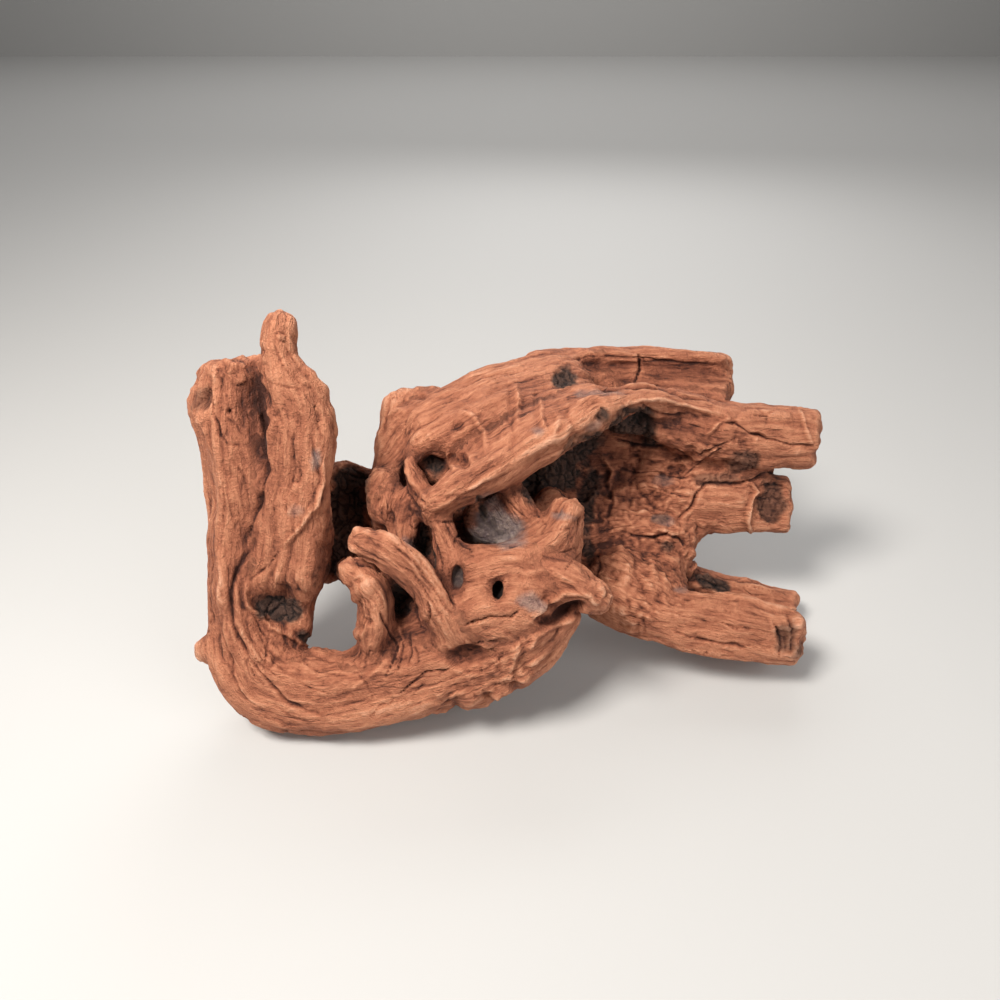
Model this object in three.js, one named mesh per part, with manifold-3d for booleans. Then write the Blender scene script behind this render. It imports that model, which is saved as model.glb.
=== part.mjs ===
// Driftwood: one weathered root and stem piece, worn hollow, that lies on three low feet.
//
// The wood is laid out as it looks from its show side. A point is [across, up, out] in
// millimetres: across to the right, up the picture plane, out towards the eye. Things
// nearer the eye look larger there, so stand() takes that away again and puts the wood on
// its feet with +Z up. Every size below is read at the distance of the wood's middle.
//
// The body grows from a field: each limb says how far a point is from its skin, and limbs
// that meet flow into each other as grown wood does. The field's zero surface is the skin.

import * as THREE from 'three';
import { SimplifyModifier } from 'three/addons/modifiers/SimplifyModifier.js';
import { MarchingCubes } from 'three/addons/objects/MarchingCubes.js';
import { mergeVertices } from 'three/addons/utils/BufferGeometryUtils.js';
import Module from 'manifold-3d';

const wasm = await Module();
wasm.setup();

// The eye that the layout is seen from
const EYE_DISTANCE = 300;
const EYE_HEIGHT = 250;
const EYE_PITCH = THREE.MathUtils.degToRad(35);

// The field's grid: a power of two keeps the corners of neighbouring cells exactly alike.
// The skin lies a little inside the limbs, because limbs that flow together swell.
const GRID = 128;
const CELL = 2.4;
const GRID_MIDDLE = new THREE.Vector3(0, -8, -24);
const FAR = 40;
const WEAR = 0.8;
const MERGE_TOLERANCE = 1e-4;
const SKIN_CORNERS = 5700;
const MOST_FACES = 90000;

// Each pass draws every corner towards its neighbours and then pushes it part way back out,
// which takes the grid's steps away and keeps the girth
const SMOOTH_PASSES = 4;
const DRAW_IN = 0.5;
const PUSH_OUT = -0.52;

// How widely limbs flow into each other and how softly a hollow's lip is worn
const FLOW = 7;
const FINE_FLOW = 3.5;
const LIP = 3.5;

// How far a limb's outline swells and shrinks as it goes round, as a share of its radius
const FLUTE_DEPTH = 0.07;
const RIDGE_DEPTH = 0.045;
const SPINE_STEP = 4;
const SAW_EDGE = 1.5;

// The block under the wood that takes away what lies below the ground
const GROUND_WIDTH = 600;
const GROUND_DEPTH = 200;

const OUT = new THREE.Vector3(0, 0, 1);
const UP = new THREE.Vector3(0, 1, 0);

// A closed three.js geometry as a solid that can be joined and cut
function solid(geometry) {
  const bare = geometry.clone();
  bare.deleteAttribute('normal');
  const merged = mergeVertices(bare, MERGE_TOLERANCE);
  const index = merged.index.array;
  const faces = [];
  for (let i = 0; i < index.length; i += 3) {
    const [a, b, c] = index.slice(i, i + 3);
    if (a !== b && b !== c && c !== a) faces.push(a, b, c);
  }
  return new wasm.Manifold(new wasm.Mesh({
    numProp: 3,
    vertProperties: new Float32Array(merged.attributes.position.array),
    triVerts: new Uint32Array(faces),
  }));
}

function smoothMin(a, b, width) {
  const overlap = Math.max(width - Math.abs(a - b), 0) / width;
  return Math.min(a, b) - overlap * overlap * width / 4;
}

function smoothMax(a, b, width) {
  return -smoothMin(-a, -b, width);
}

// A limb of changing oval section round a smooth spine, as a field.
// A row is [across, up, out, half width, half depth].
function limb(rows, { ends = ['round', 'round'], towards = OUT, seed = 0, flow = FLOW } = {}) {
  const spine = new THREE.CatmullRomCurve3(
    rows.map(([across, up, out]) => new THREE.Vector3(across, up, out)), false, 'catmullrom');
  const girth = new THREE.CatmullRomCurve3(
    rows.map(([, , , wide, deep]) => new THREE.Vector3(wide, deep, 0)), false, 'catmullrom');
  const length = spine.getLength();
  const endRadii = [rows[0][3], rows.at(-1)[3]];
  const caps = ends.map((end, i) => (end === 'round' ? Math.min(0.45, endRadii[i] / length) : 0));
  const count = Math.max(4, Math.ceil(length / SPINE_STEP));
  const stations = [];
  for (let i = 0; i <= count; i += 1) {
    const along = caps[0] + (1 - caps[0] - caps[1]) * i / count;
    stations.push({
      along,
      place: spine.getPoint(along),
      tangent: spine.getTangent(along),
      size: girth.getPoint(along),
    });
  }
  const reach = new THREE.Box3().setFromPoints(stations.map((station) => station.place));
  const widest = Math.max(...rows.map(([, , , wide, deep]) => Math.max(wide, deep)));
  reach.expandByScalar(widest * 1.2 + FLOW * 1.5);

  const span = new THREE.Vector3();
  const offset = new THREE.Vector3();
  const middle = new THREE.Vector3();
  const tangent = new THREE.Vector3();
  const side = new THREE.Vector3();
  const front = new THREE.Vector3();

  function distance(point) {
    let nearest = Infinity;
    let best = 0;
    let share = 0;
    for (let i = 0; i < count; i += 1) {
      const from = stations[i].place;
      span.subVectors(stations[i + 1].place, from);
      offset.subVectors(point, from);
      const part = THREE.MathUtils.clamp(offset.dot(span) / span.lengthSq(), 0, 1);
      const gap = offset.addScaledVector(span, -part).lengthSq();
      if (gap < nearest) {
        nearest = gap;
        best = i;
        share = part;
      }
    }
    const [low, high] = [stations[best], stations[best + 1]];
    middle.lerpVectors(low.place, high.place, share);
    tangent.lerpVectors(low.tangent, high.tangent, share).normalize();
    const wide = THREE.MathUtils.lerp(low.size.x, high.size.x, share);
    const deep = THREE.MathUtils.lerp(low.size.y, high.size.y, share);
    const along = THREE.MathUtils.lerp(low.along, high.along, share);
    side.crossVectors(tangent, towards).normalize();
    front.crossVectors(side, tangent);
    offset.subVectors(point, middle);
    const x = offset.dot(side);
    const z = offset.dot(front);
    let y = offset.dot(tangent);
    const atStart = best === 0 && share === 0;
    const atEnd = best === count - 1 && share === 1;
    let beyondSaw = -Infinity;
    if ((atStart && ends[0] === 'sawn') || (atEnd && ends[1] === 'sawn')) {
      beyondSaw = atStart ? -y : y;
      y = 0;
    }
    const turn = Math.atan2(z, x);
    const swell = 1
      + FLUTE_DEPTH * Math.cos(3 * turn + seed * 1.7 + along * 2.1)
      + RIDGE_DEPTH * Math.cos(5 * turn + seed * 2.9 - along * 3.3);
    const small = Math.min(wide, deep);
    const ratio = Math.hypot(x / wide, z / deep, y / small) / swell;
    const away = Math.hypot(x, y, z);
    const skin = ratio > 1e-6 ? away * (1 - 1 / ratio) : -small;
    return smoothMax(skin, beyondSaw, SAW_EDGE);
  }
  return { reach, distance, flow };
}

// An egg-shaped hollow: its middle, its three half sizes, and its lean to the right in degrees
function pit([across, up, out], [wide, tall, deep], lean = 0) {
  const place = new THREE.Vector3(across, up, out);
  const back = new THREE.Matrix4().makeRotationZ(THREE.MathUtils.degToRad(lean));
  const reach = new THREE.Box3().setFromCenterAndSize(
    place, new THREE.Vector3(1, 1, 1).multiplyScalar(2 * Math.max(wide, tall, deep) + 8));
  const offset = new THREE.Vector3();
  function distance(point) {
    offset.subVectors(point, place).applyMatrix4(back);
    const ratio = Math.hypot(offset.x / wide, offset.y / tall, offset.z / deep);
    const away = offset.length();
    return ratio > 1e-6 ? away * (1 - 1 / ratio) : -Math.min(wide, tall, deep);
  }
  return { reach, distance };
}

// The left horn: two fused stems that rise from the bend and end in a lobe and a thumb
function hornLimbs() {
  const lobe = limb([
    [-111, 55, 26, 13, 9],
    [-111, 46, 25, 15, 10],
    [-109.5, 26, 21, 14, 12],
    [-107, 0, 15, 12, 12],
    [-107, -24, 9, 11.5, 13],
    [-106, -46, 5, 12.5, 14],
  ], { ends: ['sawn', 'round'], seed: 1 });
  const thumb = limb([
    [-88.5, 75, 39, 7.5, 6.5],
    [-88.8, 66, 38, 7.6, 7.5],
    [-89, 59, 36, 7.8, 7.5],
    [-86.8, 51, 34, 8.8, 8.5],
    [-82.5, 43, 32, 11.5, 9],
    [-80.5, 34, 29, 13.5, 10],
    [-80, 20, 25, 13.5, 11],
    [-81.5, 6, 21, 13, 12],
    [-82.5, -10, 16, 15.5, 13],
    [-84, -28, 10, 16, 13],
    [-92, -46, 5, 13, 14],
  ], { seed: 2 });
  const web = limb([
    [-97, 58, 24, 7, 6],
    [-97, 40, 22, 7, 7],
    [-96, 15, 18, 7, 9],
    [-95, -12, 12, 8, 10],
  ], { seed: 45 });
  const lobeKnobs = [
    limb([[-117, 48, 28, 5, 6], [-117, 56, 27, 4, 5]], { seed: 3, flow: FINE_FLOW }),
    limb([[-105, 46, 31, 6, 6], [-104, 55, 30, 5, 5]], { seed: 4, flow: FINE_FLOW }),
  ];
  const root = limb([
    [-86, -24, 4, 14, 11],
    [-86, -42, 1, 14.5, 11],
    [-86, -62, 0, 14, 11],
  ], { seed: 39 });
  const sideKnob = limb([[-111, -56, 6, 5, 6], [-121, -60, 5, 3.3, 4]], { seed: 5, flow: FINE_FLOW });
  return [lobe, thumb, root, web, ...lobeKnobs, sideKnob];
}

// The bend: the stem turns under the horn and runs to the right along the bottom
function bendLimbs() {
  const bend = limb([
    [-106, -30, 6, 10.5, 13],
    [-104, -52, 4, 12, 14],
    [-96, -69, 3, 15, 15],
    [-80, -77, 2, 16.2, 16],
    [-62, -76.5, 2, 16.5, 16.5],
    [-40, -72, 4, 16.8, 17],
    [-18, -65, 6, 17.5, 17],
    [2, -57, 8, 17.5, 16],
    [18, -47, 10, 14, 15],
  ], { seed: 6 });
  const saddle = limb([
    [-54, -58, 2, 10, 10],
    [-38, -52, 4, 13, 11],
    [-20, -46, 4, 16, 13],
    [-2, -42, 6, 16, 14],
  ], { seed: 7 });
  const nub = limb([[-14, -75, 9, 6, 7], [-5, -82, 7, 2.5, 4]], { seed: 8, flow: FINE_FLOW });
  return [bend, saddle, nub];
}

// The snout: the knotted mass in front, and the stem that carries its ledge
function snoutLimbs() {
  const mass = limb([
    [-20, -40, 14, 12, 11],
    [-8, -40, 16, 20, 16],
    [8, -39, 17, 20, 16],
    [20, -43, 15, 13, 13],
  ], { seed: 9 });
  const stem = limb([
    [22, -10, 6, 9, 10],
    [24, -26, 10, 8, 10],
    [22, -42, 12, 9, 11],
  ], { seed: 12 });
  const jaw = limb([
    [-14, -62, 12, 12, 10],
    [6, -60, 14, 12, 9],
    [20, -52, 14, 9, 8],
    [29, -44, 13, 6, 6],
  ], { seed: 48 });
  return [mass, stem, jaw];
}

// What still stands where the wood between has rotted away: the rim that overhangs the
// bowl, the cup under it, the wall beside its throat, the snout's neck, ledge and beak
function standingLimbs() {
  const rim = limb([
    [-31, -3, 23, 5, 6],
    [-18, 4, 20, 8, 9],
    [0, 14, 14, 9.5, 10],
    [18, 25, 8, 9.5, 10],
    [36, 35, 2, 8.5, 9],
    [52, 40, -7, 7.5, 8],
    [70, 39, -16, 6.5, 7],
    [86, 36, -20, 5.5, 6],
  ], { seed: 22, flow: FINE_FLOW });
  const flap = limb([
    [-14, 12, 13, 6, 6],
    [6, 22, 9, 8, 7],
    [24, 32, 2, 8, 7],
    [44, 41, -8, 7, 6],
  ], { seed: 46 });
  const cupFloor = limb([
    [-16, -3, 8, 7, 6],
    [-2, -9, 3, 11, 6],
    [12, -16, 2, 9, 7],
  ], { seed: 47, flow: FINE_FLOW });
  const septum = limb([
    [-1, 10, 6, 7, 7],
    [5, 0, 4, 7.5, 9],
    [11, -9, 4, 7.5, 9],
    [16, -18, 6, 7, 8],
  ], { seed: 37, flow: FINE_FLOW });
  const neck = limb([
    [-28, -2, 18, 5, 6],
    [-23, -14, 19, 5.5, 8],
    [-19, -28, 18, 7, 9],
    [-17, -42, 17, 7, 9],
  ], { seed: 13 });
  const beak = limb([
    [10, -30, 20, 12, 10],
    [24, -33, 21, 10, 9],
    [34, -37, 22, 8.5, 8],
    [43, -43, 21, 6.5, 7],
  ], { seed: 10, flow: FINE_FLOW });
  const ledge = limb([
    [-17, -22, 16, 6, 9],
    [-2, -26, 16, 6, 10],
    [12, -21, 14, 8, 10],
    [23, -13, 12, 8.5, 9],
    [29, -1, 10, 7, 7],
  ], { ends: ['round', 'sawn'], seed: 11 });
  return [rim, flap, cupFloor, septum, neck, beak, ledge];
}

// The thin roots that cross in the middle, over the caves
function rootLimbs() {
  const upperThumb = limb([
    [-60, -15, 29, 6.5, 6.5],
    [-45, -20, 31, 7.2, 7],
    [-32, -31, 28, 7.5, 7.5],
    [-24, -44, 24, 7.5, 8],
    [-16, -58, 17, 6, 8],
  ], { seed: 14, flow: FINE_FLOW });
  const lowerThumb = limb([
    [-63, -26, 22, 5, 6],
    [-55, -31, 22, 8, 7.5],
    [-50, -40, 19, 7.5, 9],
    [-50, -51, 14, 8, 10],
    [-54, -63, 8, 9, 10],
  ], { seed: 15, flow: FINE_FLOW });
  const spike = limb([
    [-38, 17, 8, 3, 3.5],
    [-33, 7, 11, 4.5, 4.5],
    [-26, -6, 16, 5, 5],
    [-20, -20, 18, 5.5, 6],
  ], { seed: 16, flow: FINE_FLOW });
  const cheek = limb([
    [-46, 14, 2, 7, 8],
    [-47, 2, 6, 7, 8],
    [-48, -9, 6, 5.5, 7],
  ], { seed: 17, flow: FINE_FLOW });
  const jowl = limb([
    [-34, 6, 4, 7, 8],
    [-37, -7, 9, 7, 8],
    [-38, -18, 10, 6, 7],
    [-32, -28, 10, 5, 6],
  ], { seed: 18, flow: FINE_FLOW });
  return [upperThumb, lowerThumb, spike, cheek, jowl];
}

// The shield: the broad worn face at the top
function shieldLimbs() {
  const shield = limb([
    [-36, 18, -8, 17, 14],
    [-20, 24, -5, 20, 17],
    [-2, 34, -12, 19, 17],
    [16, 43, -22, 15, 15],
    [34, 46, -30, 11, 13],
  ], { seed: 19 });
  const corner = limb([
    [-45, 39, -20, 5, 10],
    [-34, 37, -18, 8, 11],
    [-18, 40, -20, 9, 12],
  ], { ends: ['sawn', 'round'], seed: 20, flow: FINE_FLOW });
  const edge = limb([
    [-40, 38, -18, 7, 10],
    [-42, 22, -12, 8, 12],
    [-45, 8, -7, 8, 12],
    [-46, -6, -5, 7, 11],
    [-46, -14, -5, 6, 9],
  ], { seed: 21 });
  const brow = limb([
    [-18, 13, 5, 9, 10],
    [0, 23, 1, 11, 11],
    [18, 33, -7, 11, 11],
    [36, 41, -15, 9, 10],
  ], { seed: 43 });
  return [shield, corner, edge, brow];
}

// The beams on the right
function beamLimbs() {
  const sawn = ['round', 'sawn'];
  const topBeam = limb([
    [0, 44, -34, 10, 12],
    [24, 48, -46, 10, 12],
    [48, 50, -49, 9.5, 11],
    [70, 50, -51, 9, 11],
    [91, 49, -52, 9, 11],
  ], { ends: sawn, seed: 23 });
  const topLip = limb([
    [10, 55, -30, 5, 7],
    [34, 58, -38, 4, 7],
    [60, 58, -41, 3.5, 7],
    [91, 56, -43, 3.5, 6],
  ], { ends: sawn, seed: 24, flow: FINE_FLOW });
  const beamWeb = limb([
    [24, 42, -40, 9, 9],
    [58, 43, -42, 8, 9],
    [91, 41, -41, 7, 9],
  ], { ends: sawn, seed: 44 });
  const upperArm = limb([
    [40, 34, -22, 8, 10],
    [58, 34, -24, 9, 11],
    [76, 30, -25, 12, 12],
    [92, 27, -25, 13, 12],
    [110, 26, -26, 13, 12],
    [127, 25, -27, 13, 11],
  ], { ends: sawn, seed: 25 });
  const stub = limb([
    [58, 2, -36, 15, 11],
    [78, -1, -37, 13, 10],
    [98, -2, -38, 12.5, 9.5],
    [116, -3, -39, 12.5, 9],
  ], { ends: sawn, seed: 26 });
  const armToStub = limb([
    [70, 14, -36, 10, 9],
    [90, 12, -36, 8, 8],
    [108, 11, -37, 6, 8],
  ], { seed: 27 });
  const lowerArm = limb([
    [34, -31, -25, 13, 12],
    [50, -40, -20, 12.5, 12],
    [66, -46.5, -17, 12, 12],
    [84, -50, -16, 12, 12],
    [102, -52, -15, 12, 11],
    [120, -55.5, -14, 11.5, 10],
  ], { ends: sawn, seed: 28 });
  const backArm = limb([
    [60, -28, -42, 9, 9],
    [80, -35, -46, 9, 9],
    [100, -40, -48, 9.5, 9],
    [117, -45, -49, 9.5, 9],
  ], { ends: sawn, seed: 29 });
  return [topBeam, topLip, beamWeb, upperArm, stub, armToStub, lowerArm, backArm];
}

// The walls: the deep bowl on the right, the bark wall beside the horn, the block's heart
function wallLimbs() {
  const bowlRoof = limb([
    [0, 16, -34, 16, 11],
    [28, 28, -42, 15, 11],
    [54, 30, -42, 14, 10],
    [82, 26, -37, 12, 10],
  ], { seed: 30 });
  const bowlMiddle = limb([
    [0, 0, -38, 18, 13],
    [26, 4, -48, 18, 12],
    [50, 6, -46, 17, 11],
    [76, 8, -39, 13, 10],
  ], { seed: 31 });
  const bowlLower = limb([
    [16, -20, -34, 18, 13],
    [40, -16, -40, 18, 12],
    [60, -14, -37, 14, 12],
    [75, -18, -34, 9, 10],
  ], { seed: 32 });
  const bowlFoot = limb([
    [30, -34, -26, 15, 13],
    [50, -33, -26, 14, 13],
    [74, -34, -26, 10, 12],
  ], { seed: 33 });
  const barkWall = limb([
    [-70, 12, -8, 8, 7],
    [-62, 2, -20, 15, 7],
    [-57, -12, -22, 18, 7],
    [-57, -33, -18, 18, 7],
    [-57, -52, -14, 16, 7],
  ], { seed: 34 });
  const heart = limb([
    [-42, -22, -10, 15, 13],
    [-18, -20, -12, 22, 18],
    [8, -16, -22, 22, 18],
    [32, -14, -34, 18, 12],
  ], { seed: 35 });
  const caveBack = limb([
    [-43, -14, 0, 11, 7],
    [-42, -36, -1, 12, 7],
    [-41, -58, 2, 12, 9],
  ], { seed: 49 });
  const backRidge = limb([
    [-42, 16, -24, 12, 11],
    [-18, 10, -36, 15, 13],
    [10, 10, -44, 16, 13],
    [36, 24, -54, 10, 9],
    [58, 34, -56, 7, 7],
  ], { seed: 36 });
  const backStrand = limb([
    [-20, -12, -34, 9, 9],
    [8, -12, -46, 9, 9],
    [34, -4, -55, 8, 7],
    [60, 2, -52, 8, 7],
    [86, 4, -47, 6, 6],
  ], { seed: 42, flow: FINE_FLOW });
  return [bowlRoof, bowlMiddle, bowlLower, bowlFoot, barkWall, heart, caveBack, backRidge, backStrand];
}

// The rear root, which comes down behind and carries the back
function footLimbs() {
  const rearRoot = limb([
    [-14, -6, -22, 18, 14],
    [-24, -14, -44, 14, 12],
    [-29, -22, -66, 11, 12],
    [-30, -24, -84, 12, 10],
    [-35, -27, -98, 9, 9],
  ], { towards: UP, seed: 38 });
  const rootlet = limb([
    [-22, -16, -52, 8, 7],
    [-8, -24, -62, 6, 5.5],
    [3, -27, -66, 4, 4],
  ], { towards: UP, seed: 40, flow: FINE_FLOW });
  const brokenStub = limb([
    [6, 14, -50, 8, 8],
    [12, 12, -62, 6.5, 6.5],
    [14, 11, -68, 6, 6],
  ], { ends: ['round', 'sawn'], towards: UP, seed: 41, flow: FINE_FLOW });
  return [rearRoot, rootlet, brokenStub];
}

// Where the wood between the standing parts is rotted or worn hollow
function hollows() {
  return [
    // the hole that goes right through beside the horn
    pit([-65, -46, 0], [9.5, 14.5, 70]),
    // the rotted cave in the root of the horn
    pit([-88, -43, 20], [9.5, 9.5, 12]),
    // the notched top of the horn's lobe
    pit([-128, 53, 26], [8, 14, 16], 36),
    // the channel between the horn's two stems
    pit([-94, 18, 37], [3, 26, 9], 2),
    // the throat of the bowl, and the worn cup under the rim
    pit([12, 9, -12], [7, 13, 24], 30),
    pit([-1, -8, 15], [13, 9, 9]),
    // the caves between the thin roots
    pit([-42, -38, 18], [8, 11, 14]),
    pit([-39, -56, 24], [5, 12, 8]),
    pit([-31, -20, 18], [6, 9, 9], 30),
    // the rotted places of the shield
    pit([-25, 15, 15], [8, 6.5, 10]),
    pit([-14, 15, 17], [3.5, 5, 8]),
  ];
}

// The holes and dimples in what still stands
function knotHoles() {
  return [
    // the eye, the slit, the dimple and the hollow cheek of the snout
    pit([-1, -35, 34], [3.5, 4.5, 9]),
    pit([-17, -31, 29], [2.2, 6, 6]),
    pit([-12, -62, 28], [11, 6, 6]),
    pit([24, -48, 29], [11, 5, 8], 60),
    // the hollow end of the stub
    pit([110, -1, -29], [10, 9, 6]),
  ];
}

// The skin of the joined and hollowed field, as a closed geometry in the layout
function skin(layers) {
  const grid = new MarchingCubes(GRID, new THREE.MeshBasicMaterial(), false, false, MOST_FACES);
  grid.isolation = WEAR;
  grid.field.fill(-FAR);
  const half = GRID / 2;
  const point = new THREE.Vector3();
  const within = (reach, combine) => {
    const low = reach.min.clone().sub(GRID_MIDDLE).divideScalar(CELL).addScalar(half).ceil();
    const high = reach.max.clone().sub(GRID_MIDDLE).divideScalar(CELL).addScalar(half).floor();
    for (let k = Math.max(1, low.z); k <= Math.min(GRID - 2, high.z); k += 1) {
      for (let j = Math.max(1, low.y); j <= Math.min(GRID - 2, high.y); j += 1) {
        for (let i = Math.max(1, low.x); i <= Math.min(GRID - 2, high.x); i += 1) {
          point.set(i, j, k).subScalar(half).multiplyScalar(CELL).add(GRID_MIDDLE);
          grid.setCell(i, j, k, combine(grid.getCell(i, j, k)));
        }
      }
    }
  };
  for (const { limbs = [], pits = [] } of layers) {
    for (const { reach, distance, flow } of limbs) {
      within(reach, (value) => -smoothMin(-value, distance(point), flow));
    }
    for (const { reach, distance } of pits) {
      within(reach, (value) => -smoothMax(-value, -distance(point), LIP));
    }
  }
  grid.update();
  const corners = grid.geometry.attributes.position.array.slice(0, grid.count * 3);
  const geometry = new THREE.BufferGeometry();
  geometry.setAttribute('position', new THREE.BufferAttribute(corners, 3));
  geometry.scale(half * CELL, half * CELL, half * CELL);
  geometry.translate(GRID_MIDDLE.x, GRID_MIDDLE.y, GRID_MIDDLE.z);
  return geometry;
}

// From the layout to the standing frame
function stand(geometry) {
  const eye = new THREE.Vector3(0, -EYE_DISTANCE * Math.cos(EYE_PITCH), EYE_HEIGHT);
  const forward = new THREE.Vector3(0, Math.cos(EYE_PITCH), -Math.sin(EYE_PITCH));
  const upward = new THREE.Vector3(0, Math.sin(EYE_PITCH), Math.cos(EYE_PITCH));
  const places = geometry.attributes.position;
  for (let i = 0; i < places.count; i += 1) {
    const far = EYE_DISTANCE - places.getZ(i);
    const nearness = far / EYE_DISTANCE;
    const place = eye.clone()
      .addScaledVector(forward, far)
      .addScaledVector(upward, places.getY(i) * nearness);
    places.setXYZ(i, places.getX(i) * nearness, place.y, place.z);
  }
  return geometry;
}

// Every corner moved by a share of the way to the middle of its neighbours
function drawn(corners, index, share) {
  const sums = new Float64Array(corners.length);
  const counts = new Uint16Array(corners.length / 3);
  for (let i = 0; i < index.length; i += 3) {
    for (let k = 0; k < 3; k += 1) {
      const here = index[i + k];
      const next = index[i + (k + 1) % 3];
      counts[here] += 1;
      for (let axis = 0; axis < 3; axis += 1) sums[here * 3 + axis] += corners[next * 3 + axis];
    }
  }
  return corners.map((value, i) => value + share * (sums[i] / counts[Math.floor(i / 3)] - value));
}

// The same skin without the grid's steps, and with fewer faces where it is even
async function lighten(geometry) {
  const merged = mergeVertices(geometry, MERGE_TOLERANCE);
  const places = merged.attributes.position;
  for (let pass = 0; pass < SMOOTH_PASSES; pass += 1) {
    places.array = drawn(places.array, merged.index.array, DRAW_IN);
    places.array = drawn(places.array, merged.index.array, PUSH_OUT);
  }
  const surplus = places.count - SKIN_CORNERS;
  return new SimplifyModifier().modify(merged, surplus);
}

// The whole wood, layer by layer: the masses, what is worn into them, and what stands over that
async function wornWood() {
  const layers = [
    { limbs: [...hornLimbs(), ...bendLimbs(), ...snoutLimbs(), ...shieldLimbs()] },
    { limbs: [...beamLimbs(), ...wallLimbs(), ...footLimbs()], pits: hollows() },
    { limbs: [...standingLimbs(), ...rootLimbs()], pits: knotHoles() },
  ];
  const ground = new THREE.BoxGeometry(GROUND_WIDTH, GROUND_WIDTH, GROUND_DEPTH);
  ground.deleteAttribute('uv');
  ground.translate(0, 0, -GROUND_DEPTH / 2);
  const wood = await lighten(stand(skin(layers)));
  return solid(wood).subtract(solid(ground));
}

const wholeWood = await wornWood();
const mesh = wholeWood.getMesh();
const geometry = new THREE.BufferGeometry();
geometry.setAttribute('position', new THREE.BufferAttribute(new Float32Array(mesh.vertProperties), 3));
geometry.setIndex(new THREE.BufferAttribute(new Uint32Array(mesh.triVerts), 1));
geometry.computeVertexNormals();
geometry.computeBoundingBox();

const wood = new THREE.Mesh(
  geometry,
  new THREE.MeshStandardMaterial({ color: 0xa8623f, roughness: 0.8, metalness: 0 }),
);
wood.name = 'driftwood';
const middle = geometry.boundingBox.getCenter(new THREE.Vector3());
wood.position.set(-middle.x, -middle.y, -geometry.boundingBox.min.z);

const driftwood = new THREE.Group();
driftwood.add(wood);

export default driftwood;
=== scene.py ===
# %% [markdown]
# # A piece of driftwood
# The wood is one grown piece, worn hollow by weather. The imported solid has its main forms.
# Here it gets what a solid made for measuring can't carry: the fibres that run along every
# stem, the cracks, the rotted bark in the hollows, and the colours of dry red wood.

# %% Start
import math

import bmesh
import bpy
import numpy as np
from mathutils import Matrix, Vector
from mathutils.bvhtree import BVHTree


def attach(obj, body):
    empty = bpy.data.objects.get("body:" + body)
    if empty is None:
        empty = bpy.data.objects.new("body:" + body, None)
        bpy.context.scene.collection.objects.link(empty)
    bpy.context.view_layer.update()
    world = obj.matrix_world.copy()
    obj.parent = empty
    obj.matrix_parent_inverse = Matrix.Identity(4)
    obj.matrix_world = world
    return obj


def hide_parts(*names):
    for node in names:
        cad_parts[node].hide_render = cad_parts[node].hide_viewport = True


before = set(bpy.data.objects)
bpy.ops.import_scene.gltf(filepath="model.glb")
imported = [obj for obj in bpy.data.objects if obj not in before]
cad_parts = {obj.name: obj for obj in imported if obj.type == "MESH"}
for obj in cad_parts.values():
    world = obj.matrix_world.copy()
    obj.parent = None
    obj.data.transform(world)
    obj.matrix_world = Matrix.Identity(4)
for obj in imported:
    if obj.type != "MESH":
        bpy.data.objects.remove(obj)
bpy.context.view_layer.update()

# %% [markdown]
# ## The camera
# The photo looks down on the wood from close by, with a phone's wide lens. Many places on
# the wood are named below by where the camera sees them, so the camera comes first. A point
# seen at a pixel is found by the same sum that a pinhole camera makes.

# %% The camera
EYE = Vector((-0.01132, -0.258468, 0.25))
PITCH = math.radians(35)
LENS_MM = 27
SENSOR_MM = 36
FRAME_PIXELS = 1000
FOCAL_PIXELS = FRAME_PIXELS * LENS_MM / SENSOR_MM

NEAREST_SEEN = 0.01


def put_in_scene(name, data):
    piece = bpy.data.objects.new(name, data)
    bpy.context.scene.collection.objects.link(piece)
    return piece


camera_data = bpy.data.cameras.new("camera")
camera_data.lens = LENS_MM
camera_data.sensor_width = SENSOR_MM
camera_data.clip_start = NEAREST_SEEN
camera = put_in_scene("camera", camera_data)
camera.location = EYE
camera.rotation_euler = (math.pi / 2 - PITCH, 0, 0)
bpy.context.scene.camera = camera
print("camera height, metres:", EYE.z)

FORWARD = np.array([0, math.cos(PITCH), -math.sin(PITCH)])
UPWARD = np.array([0, math.sin(PITCH), math.cos(PITCH)])


def seen_at(places):
    """The pixel across, the pixel down and the depth in metres of every place."""
    offset = places - np.array(EYE)
    depth = offset @ FORWARD
    across = FRAME_PIXELS / 2 + FOCAL_PIXELS * offset[:, 0] / depth
    down = FRAME_PIXELS / 2 - FOCAL_PIXELS * (offset @ UPWARD) / depth
    return across, down, depth


# The stems are laid out on a plane this far from the camera.
LAYOUT_MM = 300.0


def stand(point):
    """A point laid out across, up and out in millimetres, as it stands in the frame."""
    across, up, out = point
    depth = (LAYOUT_MM - out) / 1000
    nearness = depth / (LAYOUT_MM / 1000)
    place = np.array(EYE) + depth * FORWARD + up / 1000 * nearness * UPWARD
    place[0] += across / 1000 * nearness
    return place


# %% [markdown]
# ## A finer skin
# The solid is faceted. Its copy has its loose triangles merged, and a voxel remesh gives it
# small even faces, which is what sculpting needs: fibres and cracks are only as fine as the
# faces that carry them. Averaging every corner with its neighbours then takes the facets
# away, in fewer rounds at the sawn ends, whose edges are sharp. It also thins the wood a
# little, so the skin is pushed back out by as much.

# %% A finer skin
VOXEL = 0.0008
ROUNDING_PASSES = 14
SAWN_PASSES = 4
SAWN_FROM = 0.089
SAWN_FADE = 0.006
PUSHED_OUT = 0.0004
MERGE_DISTANCE = 1e-5


def applied(piece, name):
    """A new mesh with the piece's modifiers applied."""
    graph = bpy.context.evaluated_depsgraph_get()
    mesh = bpy.data.meshes.new_from_object(piece.evaluated_get(graph))
    mesh.name = name
    return mesh


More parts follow.
